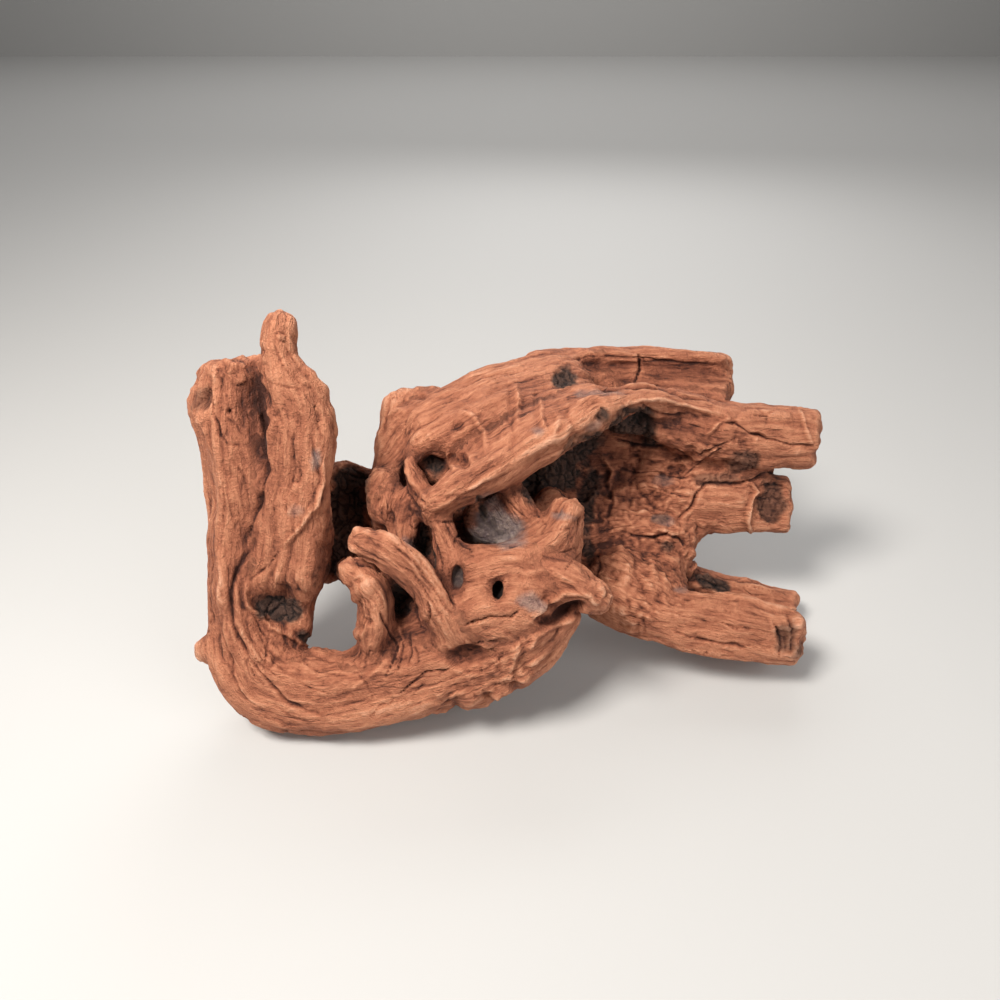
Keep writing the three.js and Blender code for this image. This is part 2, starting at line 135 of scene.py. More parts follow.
def merged_copy(node, name):
    """The node's mesh as an object of its own, with its corners joined."""
    mesh = node.data.copy()
    mesh.name = name
    shape = bmesh.new()
    shape.from_mesh(mesh)
    bmesh.ops.remove_doubles(shape, verts=shape.verts, dist=MERGE_DISTANCE)
    shape.to_mesh(mesh)
    shape.free()
    return put_in_scene(name, mesh)


wood = merged_copy(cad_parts["driftwood"], "weathered_wood")
remesh = wood.modifiers.new("even_faces", "REMESH")
remesh.mode = "VOXEL"
remesh.voxel_size = VOXEL
fine_mesh = applied(wood, "fine_wood")
wood.modifiers.clear()
wood.data = fine_mesh
wood.data.materials.clear()
print("fine skin:", len(fine_mesh.vertices), "corners")

# %% [markdown]
# ## Places, normals and neighbours
# All carving moves corners along the normals. Numpy moves them all at once, so the corners
# are read into arrays, and so are the edges, which say who is a neighbour of whom.


# %% Places, normals and neighbours
def corners_of(mesh):
    places = np.empty(len(mesh.vertices) * 3)
    mesh.vertices.foreach_get("co", places)
    return places.reshape(-1, 3)


def normals_of(mesh):
    normals = np.empty(len(mesh.vertices) * 3, np.float32)
    mesh.vertex_normals.foreach_get("vector", normals)
    return normals.reshape(-1, 3).astype(float)


def edges_of(mesh):
    ends = np.empty(len(mesh.edges) * 2, np.int32)
    mesh.edges.foreach_get("vertices", ends)
    return ends.reshape(-1, 2)


def smoothed(values, edges, passes):
    """Values averaged with those of the neighbours, again and again."""
    flat = values.reshape(len(values), -1).astype(float)
    count = np.bincount(edges.ravel(), minlength=len(flat)).astype(float)
    count = np.maximum(count, 1)[:, None]
    for _ in range(passes):
        total = np.empty_like(flat)
        for column in range(flat.shape[1]):
            one = flat[:, column]
            total[:, column] = np.bincount(
                edges[:, 0], weights=one[edges[:, 1]], minlength=len(flat)
            ) + np.bincount(edges[:, 1], weights=one[edges[:, 0]], minlength=len(flat))
        flat = 0.5 * flat + 0.5 * total / count
    return flat.reshape(values.shape)


def put_back(mesh, places):
    mesh.vertices.foreach_set("co", places.astype(np.float32).ravel())
    mesh.update()


edges = edges_of(wood.data)
crisp = smoothed(corners_of(wood.data), edges, SAWN_PASSES)
sawn_share = np.clip((crisp[:, 0] - SAWN_FROM) / SAWN_FADE, 0, 1)[:, None]
places = smoothed(crisp, edges, ROUNDING_PASSES - SAWN_PASSES)
places = sawn_share * crisp + (1 - sawn_share) * places
put_back(wood.data, places)
places = places + PUSHED_OUT * normals_of(wood.data)
put_back(wood.data, places)
normals = normals_of(wood.data)

# %% [markdown]
# ## What the camera sees first
# A stroke drawn on the picture has to mark the root in front and not the wall behind it.
# A ray from the camera to each corner says how far behind the first surface it lies.

# %% What the camera sees first
BEHIND_LIMIT = 0.006


def how_far_behind(places, tree):
    """How far each place lies behind the first surface on the camera's line to it."""
    eye = Vector(EYE)
    behind = np.zeros(len(places))
    for i, place in enumerate(places):
        line = Vector(place) - eye
        length = line.length
        hit = tree.ray_cast(eye, line / length, length)
        if hit[0] is not None:
            behind[i] = length - hit[3]
    return behind


skin_tree = BVHTree.FromPolygons(
    [Vector(p) for p in places], [tuple(f.vertices) for f in wood.data.polygons]
)
behind = how_far_behind(places, skin_tree)
in_front = np.clip(1.5 - behind / BEHIND_LIMIT, 0, 1)
pixel_across, pixel_down, _ = seen_at(places)
print("in front:", int((in_front > 0.5).sum()), "corners")

# %% [markdown]
# ## Noise
# Nature's irregularity comes from value noise: a repeatable number at every corner of a
# grid, blended smoothly between. Cracked bark comes from cells instead: every place belongs
# to its nearest seed, and the cracks lie where two seeds are equally near.


# %% Noise
def hashed(x, y, z, seed):
    """A repeatable number from 0 to 1 for every whole-numbered grid corner.

    The large odd factors scatter neighbouring corners far apart, as in a random generator.
    """
    mixed = x * 374761393 + y * 668265263 + z * 1440662683 + seed * 1274126177
    mixed = (mixed ^ (mixed >> 13)) & 0xFFFFFFFF
    mixed = (mixed * 1103515245 + 12345) & 0xFFFFFFFF
    mixed = (mixed ^ (mixed >> 16)) & 0xFFFFFFFF
    mixed = (mixed * 1664525 + 1013904223) & 0xFFFFFFFF
    return ((mixed >> 9) & 0xFFFF) / 65535.0


def noise(points, seed=0):
    """Smooth noise from -1 to 1."""
    cell = np.floor(points).astype(np.int64)
    part = points - cell
    part = part * part * (3 - 2 * part)
    total = 0
    for corner in range(8):
        step = np.array([corner & 1, (corner >> 1) & 1, corner >> 2])
        weight = np.where(step, part, 1 - part).prod(axis=1)
        x, y, z = (cell + step).T
        total = total + weight * hashed(x, y, z, seed)
    return 2 * total - 1


def layered(points, seed=0, layers=3):
    """Noise with finer and fainter noise on top."""
    total, height, whole = 0, 1.0, 0.0
    for layer in range(layers):
        total = total + height * noise(points * 2**layer, seed + layer * 17)
        whole += height
        height *= 0.5
    return total / whole


def cell_cracks(points, seed=0):
    """0 on the cracks between cells, and rising towards a cell's middle."""
    cell = np.floor(points).astype(np.int64)
    nearest = np.full(len(points), 9.0)
    second = np.full(len(points), 9.0)
    for shift in range(27):
        step = np.array([shift % 3 - 1, shift // 3 % 3 - 1, shift // 9 - 1])
        x, y, z = (cell + step).T
        seeds = np.stack([hashed(x, y, z, seed + k) for k in (1, 2, 3)], axis=1)
        gap = np.linalg.norm(cell + step + seeds - points, axis=1)
        second = np.minimum(second, np.maximum(nearest, gap))
        nearest = np.minimum(nearest, gap)
    return second - nearest


# %% [markdown]
# ## The grain
# Wood fibres follow the stem that they grew in, also round its bends. So each stem gets a
# line through its middle. The frame that travels along the line gives every place two
# numbers across the stem and one along it. Noise that is stretched in the third one makes
# fibres. Grain is never quite straight, so the first two sway a little from place to place.
# Where two stems meet, their fibres are blended by nearness.

# %% The stems
# A stem's points are across, up, out and half its thickness, in the layout's millimetres.
STEMS = {
    "lobe_and_bend": [
        (-111, 62, 27, 12), (-110, 26, 21, 13), (-107, 0, 15, 12), (-107, -24, 9, 12),
        (-104, -52, 4, 13), (-96, -69, 3, 15), (-80, -77, 2, 16), (-62, -76, 2, 16),
        (-40, -72, 4, 17), (-18, -65, 6, 17), (2, -57, 8, 16), (18, -47, 10, 14),
    ],
    "thumb": [
        (-88, 82, 39, 6), (-89, 59, 36, 8), (-86, 50, 34, 9), (-81, 36, 30, 12),
        (-80, 20, 25, 12), (-82, 0, 19, 13), (-83, -20, 12, 14), (-86, -42, 2, 13),
        (-86, -62, 0, 13),
    ],
    "saddle": [(-60, -60, 2, 9), (-38, -52, 4, 12), (-20, -46, 4, 14), (-2, -42, 6, 14)],
    "snout": [(-20, -44, 14, 11), (-6, -36, 17, 16), (8, -34, 18, 16), (20, -38, 18, 12)],
    "beak": [(10, -30, 20, 10), (24, -33, 21, 9), (36, -38, 21, 8), (46, -45, 20, 6)],
    "ledge": [(-17, -22, 16, 8), (-2, -26, 16, 8), (12, -21, 14, 9), (24, -12, 12, 8),
              (29, 2, 10, 7)],
    "neck": [(-30, -1, 19, 5), (-23, -14, 19, 6), (-19, -28, 18, 8), (-17, -46, 17, 8)],
    "upper_thumb": [(-62, -14, 29, 6), (-45, -20, 31, 7), (-32, -31, 28, 7),
                    (-24, -44, 24, 8), (-16, -58, 17, 7)],
    "lower_thumb": [(-65, -25, 22, 5), (-55, -31, 22, 7), (-50, -40, 19, 8),
                    (-50, -51, 14, 9), (-54, -63, 8, 9)],
    "spike": [(-39, 19, 8, 3), (-33, 7, 11, 4), (-26, -6, 16, 5), (-20, -20, 18, 5)],
    "jowl": [(-33, 8, 4, 7), (-37, -7, 9, 7), (-38, -18, 10, 6), (-32, -28, 10, 5)],
    "edge": [(-40, 42, -18, 8), (-42, 22, -12, 10), (-45, 8, -5, 9), (-47, -14, -4, 7)],
    "shield": [(-46, 4, -8, 14), (-34, 22, -6, 15), (-14, 33, -8, 17), (6, 42, -16, 16),
               (34, 48, -30, 12)],
    "rim": [(-33, -6, 23, 5), (-18, 4, 20, 8), (0, 14, 14, 9), (18, 25, 8, 9),
            (36, 35, 2, 9), (52, 40, -7, 8), (70, 39, -16, 7), (90, 35, -20, 6)],
    "septum": [(-3, 8, 6, 6), (3, -1, 4, 7), (9, -9, 4, 7), (14, -18, 6, 7)],
    "top_beam": [(0, 46, -32, 10), (24, 50, -43, 10), (48, 52, -46, 10),
                 (95, 51, -48, 10)],
    "upper_arm": [(40, 34, -22, 9), (58, 34, -24, 10), (76, 30, -25, 12),
                  (92, 27, -25, 12), (132, 25, -27, 12)],
    "stub": [(52, 2, -36, 12), (78, -1, -37, 12), (98, -2, -38, 11), (120, -3, -39, 11)],
    "lower_arm": [(30, -28, -25, 12), (50, -40, -20, 12), (66, -46, -17, 12),
                  (84, -50, -16, 12), (126, -57, -14, 11)],
    "back_arm": [(56, -26, -41, 9), (80, -35, -46, 9), (100, -40, -48, 9),
                 (124, -46, -49, 9)],
    "bowl_roof": [(0, 16, -34, 13), (28, 28, -42, 13), (54, 30, -42, 12), (82, 26, -37, 11)],
    "bowl_wall": [(-4, 0, -36, 15), (26, 4, -48, 15), (50, 6, -46, 14), (76, 8, -39, 12)],
    "bowl_floor": [(10, -20, -32, 15), (40, -18, -38, 15), (60, -16, -36, 13),
                   (76, -20, -34, 10)],
    "bark_wall": [(-70, 14, -8, 7), (-62, 2, -20, 10), (-57, -12, -22, 12),
                  (-56, -35, -18, 11)],
    "rear_root": [(-14, -6, -22, 15), (-24, -14, -44, 13), (-29, -22, -66, 12),
                  (-31, -25, -84, 11), (-36, -28, -102, 9)],
    "back_ridge": [(-44, 16, -22, 12), (-18, 10, -36, 14), (10, 10, -44, 14),
                   (36, 24, -54, 10), (60, 34, -56, 8)],
}
STEM_STEP = 0.002
LINE_PASSES = 6
NEAR_STEMS = 0.0025
FAINT_SHARE = 0.02
SWAY = 0.0018
SWAY_SCALE = 0.013
# No stem starts in this direction, so a first side can be made square to both.
SLANTED = [0.3, 0.5, 0.81]


def even_line(points):
    """The stem's line with a sample every two millimetres, and its half thickness."""
    line = np.array([stand(p[:3]) for p in points])
    thick = np.array([p[3] for p in points]) / 1000
    lengths = np.concatenate([[0], np.cumsum(np.linalg.norm(np.diff(line, axis=0), axis=1))])
    along = np.linspace(0, lengths[-1], max(4, int(lengths[-1] / STEM_STEP)))
    samples = np.stack([np.interp(along, lengths, line[:, k]) for k in range(3)], axis=1)
    for _ in range(LINE_PASSES):
        samples[1:-1] = 0.5 * samples[1:-1] + 0.25 * (samples[:-2] + samples[2:])
    return samples, along, np.interp(along, lengths, thick)


def travelling_frames(samples):
    """Along, side and front of each sample; the side turns no more than it must."""
    ahead = np.gradient(samples, axis=0)
    ahead /= np.linalg.norm(ahead, axis=1)[:, None]
    side = np.cross(ahead[0], SLANTED)
    sides = []
    for direction in ahead:
        side = side - direction * (side @ direction)
        side = side / np.linalg.norm(side)
        sides.append(side)
    sides = np.array(sides)
    return ahead, sides, np.cross(sides, ahead)


def along_stem(places, points):
    """Each place's distance from the stem's skin, and its grain coordinates in metres."""
    samples, along, thick = even_line(points)
    ahead, sides, fronts = travelling_frames(samples)
    squared = (places**2).sum(1)[:, None] - 2 * places @ samples.T + (samples**2).sum(1)
    best = squared.argmin(axis=1)
    offset = places - samples[best]
    forward = (offset * ahead[best]).sum(1)
    inner = (best > 0) & (best < len(samples) - 1)
    forward = np.where(inner, np.clip(forward, -STEM_STEP / 2, STEM_STEP / 2), forward)
    grain = np.stack(
        [(offset * sides[best]).sum(1), (offset * fronts[best]).sum(1), along[best] + forward],
        axis=1,
    )
    away = np.sqrt(np.maximum(squared[np.arange(len(best)), best], 0)) - thick[best]
    return away, grain


def read_grain(places):
    """For every place: the distance from each stem's skin, and the coordinates in it."""
    found = [along_stem(places, points) for points in STEMS.values()]
    return np.stack([f[0] for f in found]), np.stack([f[1] for f in found])


away, grain = read_grain(places)
share = np.exp(-(away - away.min(axis=0)) / NEAR_STEMS)
share /= share.sum(axis=0)
grain[:, :, 0] += SWAY * layered(places / SWAY_SCALE, 61, 2)
grain[:, :, 1] += SWAY * layered(places / SWAY_SCALE, 62, 2)
print("stems:", len(STEMS), "and the widest share is", round(float(share.max()), 2))


def share_of(names):
    """How far every corner belongs to the named stems."""
    return sum(share[list(STEMS).index(name)] for name in names)


def along_grain(pattern, across, lengthwise, seed):
    """A pattern drawn in each stem's own coordinates and blended where stems meet."""
    total = np.zeros(grain.shape[1])
    for number in range(len(STEMS)):
        near = share[number] > FAINT_SHARE
        points = grain[number][near] / np.array([across, across, lengthwise])
        total[near] += share[number][near] * pattern(points, seed + 31 * number)
    return total


# %% [markdown]
# ## Carving tools
# A stroke is a line on the picture, in pixels. A corner's distance from it on the picture
# says how deep the stroke cuts there. Strokes get thin at both ends, as a chisel's do, and
# noise makes them wobble and change their width, because no crack in wood is a clean line.

# %% Carving tools
MM = 0.001
TAPER = 0.18
TAPER_POWER = 0.6
CHISEL_POWER = 1.3
WOBBLE_PIXELS = 1.3
WOBBLE_SCALE = 0.0035
UNEVEN_SCALE = 0.0065
displacement = np.zeros(len(places))
# Painted shade along the carved grooves, filled in by the cuts.
painted_groove_shade = np.zeros(len(places))
wobbly_across = pixel_across + WOBBLE_PIXELS * noise(places / WOBBLE_SCALE, 51)
wobbly_down = pixel_down + WOBBLE_PIXELS * noise(places / WOBBLE_SCALE, 52)
uneven = np.clip(0.75 + 0.8 * layered(places / UNEVEN_SCALE, 53, 2), 0.25, 1.25)


def from_line(path):
    """Pixels from the line, and the share of the way along it."""
    distance = np.full(len(places), 1e3)
    along = np.zeros(len(places))
    path = np.array(path, float)
    lengths = np.linalg.norm(np.diff(path, axis=0), axis=1)
    run = 0.0
    for (x0, y0), (x1, y1), length in zip(path[:-1], path[1:], lengths):
        dx, dy = (x1 - x0) / length, (y1 - y0) / length
        ahead = np.clip((wobbly_across - x0) * dx + (wobbly_down - y0) * dy, 0, length)
        gap = np.hypot(wobbly_across - x0 - ahead * dx, wobbly_down - y0 - ahead * dy)
        along = np.where(gap < distance, (run + ahead) / lengths.sum(), along)
        distance = np.minimum(gap, distance)
        run += length
    return distance, along


def tapered(along):
    return np.clip(np.minimum(along, 1 - along) / TAPER, 0, 1) ** TAPER_POWER


def cut_all(grooves, widen=1.0, deepen=1.0, shade_strength=1.0):
    """Grooves: each a width in pixels from edge to edge, a depth in mm, and its points."""
    for width, depth, *path in grooves:
        distance, along = from_line(path)
        inside = np.clip(1 - distance / (widen * width / 2 * uneven), 0, 1)
        shape = inside**CHISEL_POWER * uneven * tapered(along) * in_front
        displacement[:] -= deepen * depth * MM * shape
        # Deeper cuts get more painted shade in their colour.
        shade_here = shade_strength * shape * min(1, deepen * depth / 2)
        painted_groove_shade[:] = np.maximum(painted_groove_shade, shade_here)


def raise_all(folds, widen=1.0, heighten=1.0):
    """Rounded ridges: each a width in pixels, a height in mm, and its points."""
    for width, height, *path in folds:
        distance, along = from_line(path)
        inside = np.clip(distance / (widen * width / 2), 0, 1)
        shape = 0.5 + 0.5 * np.cos(math.pi * inside)
        displacement[:] += heighten * height * MM * shape * tapered(along) * in_front


def oval(across, down, wide, high, lean):
    """1 inside an oval on the picture, falling softly to 0 at its edge."""
    turn = math.radians(lean)
    x, y = pixel_across - across, pixel_down - down
    lengthwise = (x * math.cos(turn) + y * math.sin(turn)) / wide
    crosswise = (-x * math.sin(turn) + y * math.cos(turn)) / high
    return np.clip(1.5 * (1 - np.hypot(lengthwise, crosswise)), 0, 1)


def swell_all(swellings):
    """Ovals: each a middle, half sizes, a lean and a height in mm. Under 0 it is a dent."""
    for across, down, wide, high, lean, height in swellings:
        patch = oval(across, down, wide, high, lean)
        displacement[:] += height * MM * patch * patch * (3 - 2 * patch) * in_front


# %% [markdown]
# ## The horn
# Two stems grew together here. The channel between them runs down into the long dark line
# that follows the bend. Knots show where twigs were: the fibres curl round each of them.

# %% The horn
LOBE_CHANNEL = [(261, 380), (259, 397), (263, 419), (267, 437), (267, 463), (263, 486),
                (257, 504), (252, 519), (246, 545)]
LOBE_HOLLOW_EDGE = [(214, 395), (214, 405), (215, 419), (220, 434), (229, 444), (244, 447)]
HORN_GROOVES = [
    (9, 2.2, *LOBE_CHANNEL),
    (26, 1.3, *LOBE_CHANNEL),
    (14, 1.6, (262, 372), (258, 392), (262, 415), (266, 440)),
    (5, 1.5, *LOBE_HOLLOW_EDGE),
    (4, 1.2, (244, 372), (246, 380), (240, 386), (231, 385)),
    (6, 1.4, (222, 366), (219, 374), (222, 384), (226, 398)),
    (3.5, 1.0, (274, 333), (280, 331), (287, 335), (285, 341), (278, 340)),
    (4, 0.9, (274, 346), (281, 361), (289, 374), (300, 384), (317, 389)),
    (3.5, 0.8, (266, 380), (281, 385), (300, 389), (315, 391)),
    (3.5, 0.7, (285, 345), (290, 356), (297, 368)),
    (5, 1.0, (294, 430), (293, 452), (295, 467), (291, 484), (289, 493)),
    (3.5, 1.1, (287, 491), (289, 484), (297, 482), (303, 489), (299, 496), (291, 497)),
    (4, 0.8, (296, 466), (300, 474), (299, 482)),
    (3.5, 1.0, (265, 486), (270, 499), (276, 515)),
    (3.5, 0.9, (287, 497), (285, 515)),
    (7, 1.3, (311, 434), (317, 458), (319, 476), (313, 495), (306, 512)),
    (6, 0.8, (226, 467), (222, 486), (224, 504), (220, 530)),
    (6, 0.7, (231, 458), (244, 478), (248, 504), (240, 532)),
    (6, 0.7, (205, 480), (210, 510), (213, 545), (212, 575)),
    (4, 0.7, (225, 416), (236, 424), (243, 436)),
    (4, 0.6, (240, 400), (236, 412), (244, 428)),
    (4, 0.9, (310, 395), (316, 404), (312, 414)),
    (4, 0.8, (322, 412), (316, 424), (322, 440)),
    (4, 0.9, (330, 420), (334, 440), (338, 455)),
]
HORN_FOLDS = [
    (7, 1.0, (300, 365), (319, 382), (332, 400), (335, 419), (336, 445)),
    (8, 1.4, (263, 393), (269, 404), (274, 419), (272, 434), (271, 449), (272, 470)),
    (8, 1.5, (322, 460), (319, 486), (315, 504), (304, 523), (289, 540), (281, 547)),
    (8, 1.0, (188, 398), (196, 412), (203, 430), (206, 455)),
    (8, 0.8, (224, 362), (235, 366), (246, 366)),
    (14, 0.8, (184, 396), (187, 406), (192, 416)),
    (30, -2.4, (198, 422), (201, 440), (205, 462), (207, 486), (207, 520)),
]
HORN_SWELLINGS = [
    (205, 398, 8, 16, 12, -2.5), (229, 411, 3.5, 4, 0, -2.0), (212, 370, 13, 9, 25, 0.9),
    (239, 374, 10, 8, -20, -0.9), (191, 379, 9, 10, 0, -1.4), (253, 352, 12, 10, 0, -3.6),
    (323, 376, 11, 12, 0, -1.3), (281, 337, 8, 6, 30, 0.7), (295, 489, 9, 8, 0, 0.6),
    (302, 420, 10, 22, 0, -0.8),
]
cut_all(HORN_GROOVES)
raise_all(HORN_FOLDS)
swell_all(HORN_SWELLINGS)
print("horn strokes:", len(HORN_GROOVES) + len(HORN_FOLDS))

# %% [markdown]
# ## The bend
# The stem turns here and its fibres turn with it, so the strokes are long curves. The rim
# of the rotted cave is a thin bright edge, because the wood behind it has gone.

# %% The bend
MAIN_CRACK = [(254, 540), (243, 560), (236, 575), (231, 590), (230, 608), (233, 624),
              (238, 638), (248, 654), (257, 670), (266, 680), (281, 696), (299, 708),
              (320, 714), (334, 709)]
CAVE_RIM = [(251, 579), (244, 594), (246, 605), (258, 614), (269, 628), (290, 634),
            (299, 642), (314, 652), (330, 654), (345, 649)]
BEND_GROOVES = [
    (8, 2.0, *MAIN_CRACK),
    (5, 1.3, (281, 549), (269, 564), (257, 575), (249, 581)),
    (5, 0.8, (212, 570), (210, 585), (210, 603), (213, 625)),
    (5, 1.2, (228, 648), (234, 675), (242, 690), (251, 702)),
    (5, 1.2, (215, 682), (224, 696), (234, 706), (248, 712), (262, 719)),
    (4, 1.0, (249, 606), (255, 620), (260, 630), (270, 641)),
    (4, 0.8, (244, 622), (252, 640), (266, 655), (282, 668), (300, 680)),
    (4, 0.8, (270, 700), (290, 716), (312, 723)),
    (4, 0.7, (300, 660), (320, 672), (345, 676), (362, 670)),
    (4, 0.8, (292, 676), (312, 690), (334, 696), (352, 692)),
    (5, 1.4, (368, 717), (380, 706), (395, 699)),
    (4, 0.8, (222, 610), (222, 630), (227, 650)),
    (4, 0.6, (310, 655), (330, 662), (350, 660), (366, 652)),
    (4, 0.7, (357, 672), (366, 684), (372, 700)),
]
BEND_FOLDS = [
    (8, 1.6, *CAVE_RIM),
    (8, 0.8, (240, 575), (236, 595), (238, 618), (246, 640), (262, 662)),
    (9, 0.8, (222, 575), (220, 600), (224, 630), (232, 655)),
    (9, 1.0, (345, 690), (365, 680), (384, 664), (392, 648)),
    (44, 2.9, (200, 648), (212, 668), (226, 688), (242, 706), (262, 724), (284, 734)),
]
BEND_SWELLINGS = [
    (327, 650, 6, 4, 0, 1.6), (347, 642, 7, 5, 0, 1.8), (200, 650, 12, 13, 0, 0.8),
    (197, 652, 4, 4, 0, -0.6), (352, 552, 12, 8, 20, 1.0), (370, 568, 10, 6, 40, 0.7),
    (360, 580, 9, 4, -20, -1.1), (356, 594, 8, 12, 15, 0.9), (372, 606, 9, 7, 0, 0.6),
    (369, 621, 8, 4, 30, -0.9), (357, 634, 11, 8, -20, 1.0), (355, 528, 10, 7, 0, 1.0),
    (374, 533, 7, 5, 30, -1.0),
]
cut_all(BEND_GROOVES)
raise_all(BEND_FOLDS)
swell_all(BEND_SWELLINGS)
print("bend strokes:", len(BEND_GROOVES) + len(BEND_FOLDS))

# %% [markdown]
# ## The snout and the crossing roots
# The knotted mass in front has one knot hole and a long crack under it. The thin roots in
# front of the caves are smooth and close-grained, and the gaps between them are painted dark
# as shade.

# %% The snout and the crossing roots
SPIKE_GAP = [(400, 468), (408, 492), (420, 514), (428, 532), (436, 548), (444, 576),
             (450, 592), (457, 614)]
SNOUT_GROOVES = [
    (5, 2.0, *SPIKE_GAP),
    (5, 1.8, (414, 490), (421, 502), (427, 510)),
    (5, 1.6, (430, 520), (450, 522), (468, 520)),
    (4, 0.8, (436, 498), (460, 494), (480, 486), (500, 478)),
    (3.5, 0.7, (434, 516), (444, 534), (452, 554)),
    (3.5, 0.8, (460, 518), (464, 528), (453, 544)),
    (3, 0.6, (444, 520), (452, 532)),
    (4, 1.2, (460, 541), (470, 548), (474, 560)),
    (4, 2.2, (463, 628), (474, 622), (486, 618), (500, 619), (510, 617), (521, 609)),
    (4, 1.8, (376, 712), (392, 700), (408, 686), (426, 673), (444, 670), (460, 662)),
    (4, 0.9, (394, 708), (412, 696), (426, 681)),
    (3.5, 0.8, (500, 656), (512, 647)),
    (3.5, 0.8, (496, 669), (511, 663)),
    (4, 0.8, (517, 634), (523, 648), (515, 660)),
    (4, 1.0, (478, 544), (492, 551), (520, 544), (540, 534), (560, 530), (577, 527)),
    (3.5, 1.0, (556, 555), (577, 547)),
    (4, 1.2, (564, 570), (573, 560), (579, 552)),
    (3.5, 0.7, (550, 511), (576, 516)),
    (3.5, 0.6, (547, 518), (574, 524)),
    (4, 1.0, (536, 512), (546, 524), (538, 537)),
    (4, 1.5, (478, 497), (481, 508), (485, 518)),
    (3, 0.7, (499, 493), (513, 507), (528, 519)),
    (3, 0.6, (493, 496), (508, 511), (522, 524)),
    (3.5, 0.8, (380, 532), (400, 550), (420, 568), (436, 592), (451, 616)),
    (3.5, 0.8, (370, 537), (392, 559), (412, 573), (430, 600), (446, 622)),
    (3, 0.6, (388, 534), (408, 550), (430, 572), (444, 596)),
    (5, 2.0, (351, 553), (362, 564), (376, 572), (390, 577)),
    (4, 1.4, (410, 588), (416, 608), (420, 626), (430, 631)),
    (4, 1.2, (425, 600), (431, 612), (430, 624)),
    (4, 1.8, (378, 610), (388, 628), (398, 650), (389, 668), (384, 682)),
    (3.5, 1.0, (404, 640), (402, 656), (396, 674)),
    (3.5, 1.0, (416, 646), (418, 664)),
    (3.5, 0.9, (410, 630), (412, 650), (408, 668)),
    (4, 0.8, (530, 660), (515, 672), (496, 682)),
    (3.5, 0.7, (478, 690), (500, 684), (520, 672)),
    (4, 0.7, (440, 690), (460, 684), (480, 676)),
]
SNOUT_FOLDS = [
    (6, 0.9, (404, 466), (412, 482), (424, 496)),
    (5, 0.7, (490, 580), (499, 573), (510, 572)),
    (10, 1.0, (520, 574), (552, 570), (580, 588), (598, 604)),
    (9, 2.0, (530, 622), (545, 603), (566, 592), (590, 594), (598, 606)),
    (8, 1.3, (527, 652), (536, 636), (548, 628), (560, 624), (572, 620)),
    (9, 1.0, (452, 668), (470, 676), (490, 672), (500, 662)),
    (8, 0.9, (480, 640), (500, 634), (516, 640)),
    (6, 0.7, (363, 534), (385, 545), (410, 562), (430, 590)),
    (7, 0.9, (366, 600), (368, 620), (364, 638)),
    (6, 0.9, (396, 660), (404, 640), (398, 622)),
    (8, 0.8, (432, 508), (450, 500), (470, 488), (492, 474)),
    (7, 0.9, (520, 640), (514, 660), (508, 680)),
]
SNOUT_SWELLINGS = [
    (498, 589, 6, 9, 15, -3.5), (506, 582, 4, 6, 0, 0.9), (457, 577, 5, 14, 0, -2.2),
    (466, 656, 26, 14, -12, -3.4), (568, 611, 22, 9, -22, -4.2), (543, 620, 11, 8, 0, -2.2),
    (424, 614, 7, 9, 0, 1.0), (516, 652, 9, 9, 0, 1.2), (534, 664, 9, 7, 0, 1.2),
    (524, 680, 10, 6, -20, 1.0), (514, 686, 6, 5, 0, -1.4), (500, 690, 10, 7, -20, 0.5),
    (486, 694, 6, 5, 0, -1.2), (470, 700, 10, 6, -20, 1.2), (456, 704, 6, 5, 0, -1.0),
    (488, 644, 8, 6, 0, 0.9), (446, 646, 9, 7, 0, 0.8), (398, 690, 12, 8, -30, 0.9),
]
cut_all(SNOUT_GROOVES)
raise_all(SNOUT_FOLDS)
swell_all(SNOUT_SWELLINGS)
print("snout strokes:", len(SNOUT_GROOVES) + len(SNOUT_FOLDS))

# %% [markdown]
# ## The shield
# Water has worn the broad face into soft wrinkles that flow round two rotted places. They run
# across the fibres, so they have to be drawn one by one. They are cut wider and shallower than
# cracks, and get none of the painted shade that cracks get, so they are no darker than the
# rest.

# %% The shield
SHIELD_GROOVES = [
    (7, 1.8, (506, 378), (511, 400), (508, 419), (514, 437), (508, 452)),
    (6, 1.1, (500, 380), (486, 399), (472, 409), (456, 407)),
    (6, 1.3, (536, 386), (533, 410), (540, 432)),
    (4, 1.1, (549, 385), (540, 388), (534, 396)),
    (7, 1.8, (572, 397), (566, 413), (575, 427), (568, 440)),
    (6, 1.0, (436, 411), (426, 427), (422, 447)),
    (5, 0.7, (398, 400), (420, 408), (440, 404)),
    (6, 0.9, (520, 372), (526, 390), (522, 410)),
    (5, 0.8, (480, 392), (470, 400), (452, 396)),
    (6, 1.0, (494, 410), (500, 428), (494, 444)),
    (5, 0.9, (470, 430), (478, 442), (474, 458)),
    (6, 0.9, (548, 400), (546, 420), (552, 436)),
    (5, 0.8, (585, 408), (592, 420), (606, 414)),
    (4, 0.6, (590, 398), (580, 404)),
    (5, 1.1, (446, 440), (456, 433), (466, 437)),
    (5, 2.0, (390, 507), (392, 521), (394, 532)),
    (5, 1.7, (398, 525), (410, 515), (420, 510)),
    (5, 1.3, (406, 479), (414, 497), (424, 516)),
    (4, 0.9, (370, 507), (384, 496)),
    (6, 0.8, (384, 440), (390, 460), (384, 485)),
    (6, 0.7, (402, 425), (398, 445), (402, 468)),
    (5, 1.4, (556, 390), (580, 392), (610, 389), (642, 393)),
    (5, 0.8, (470, 466), (488, 456), (506, 452)),
    (5, 0.8, (520, 452), (536, 442), (556, 436)),
]
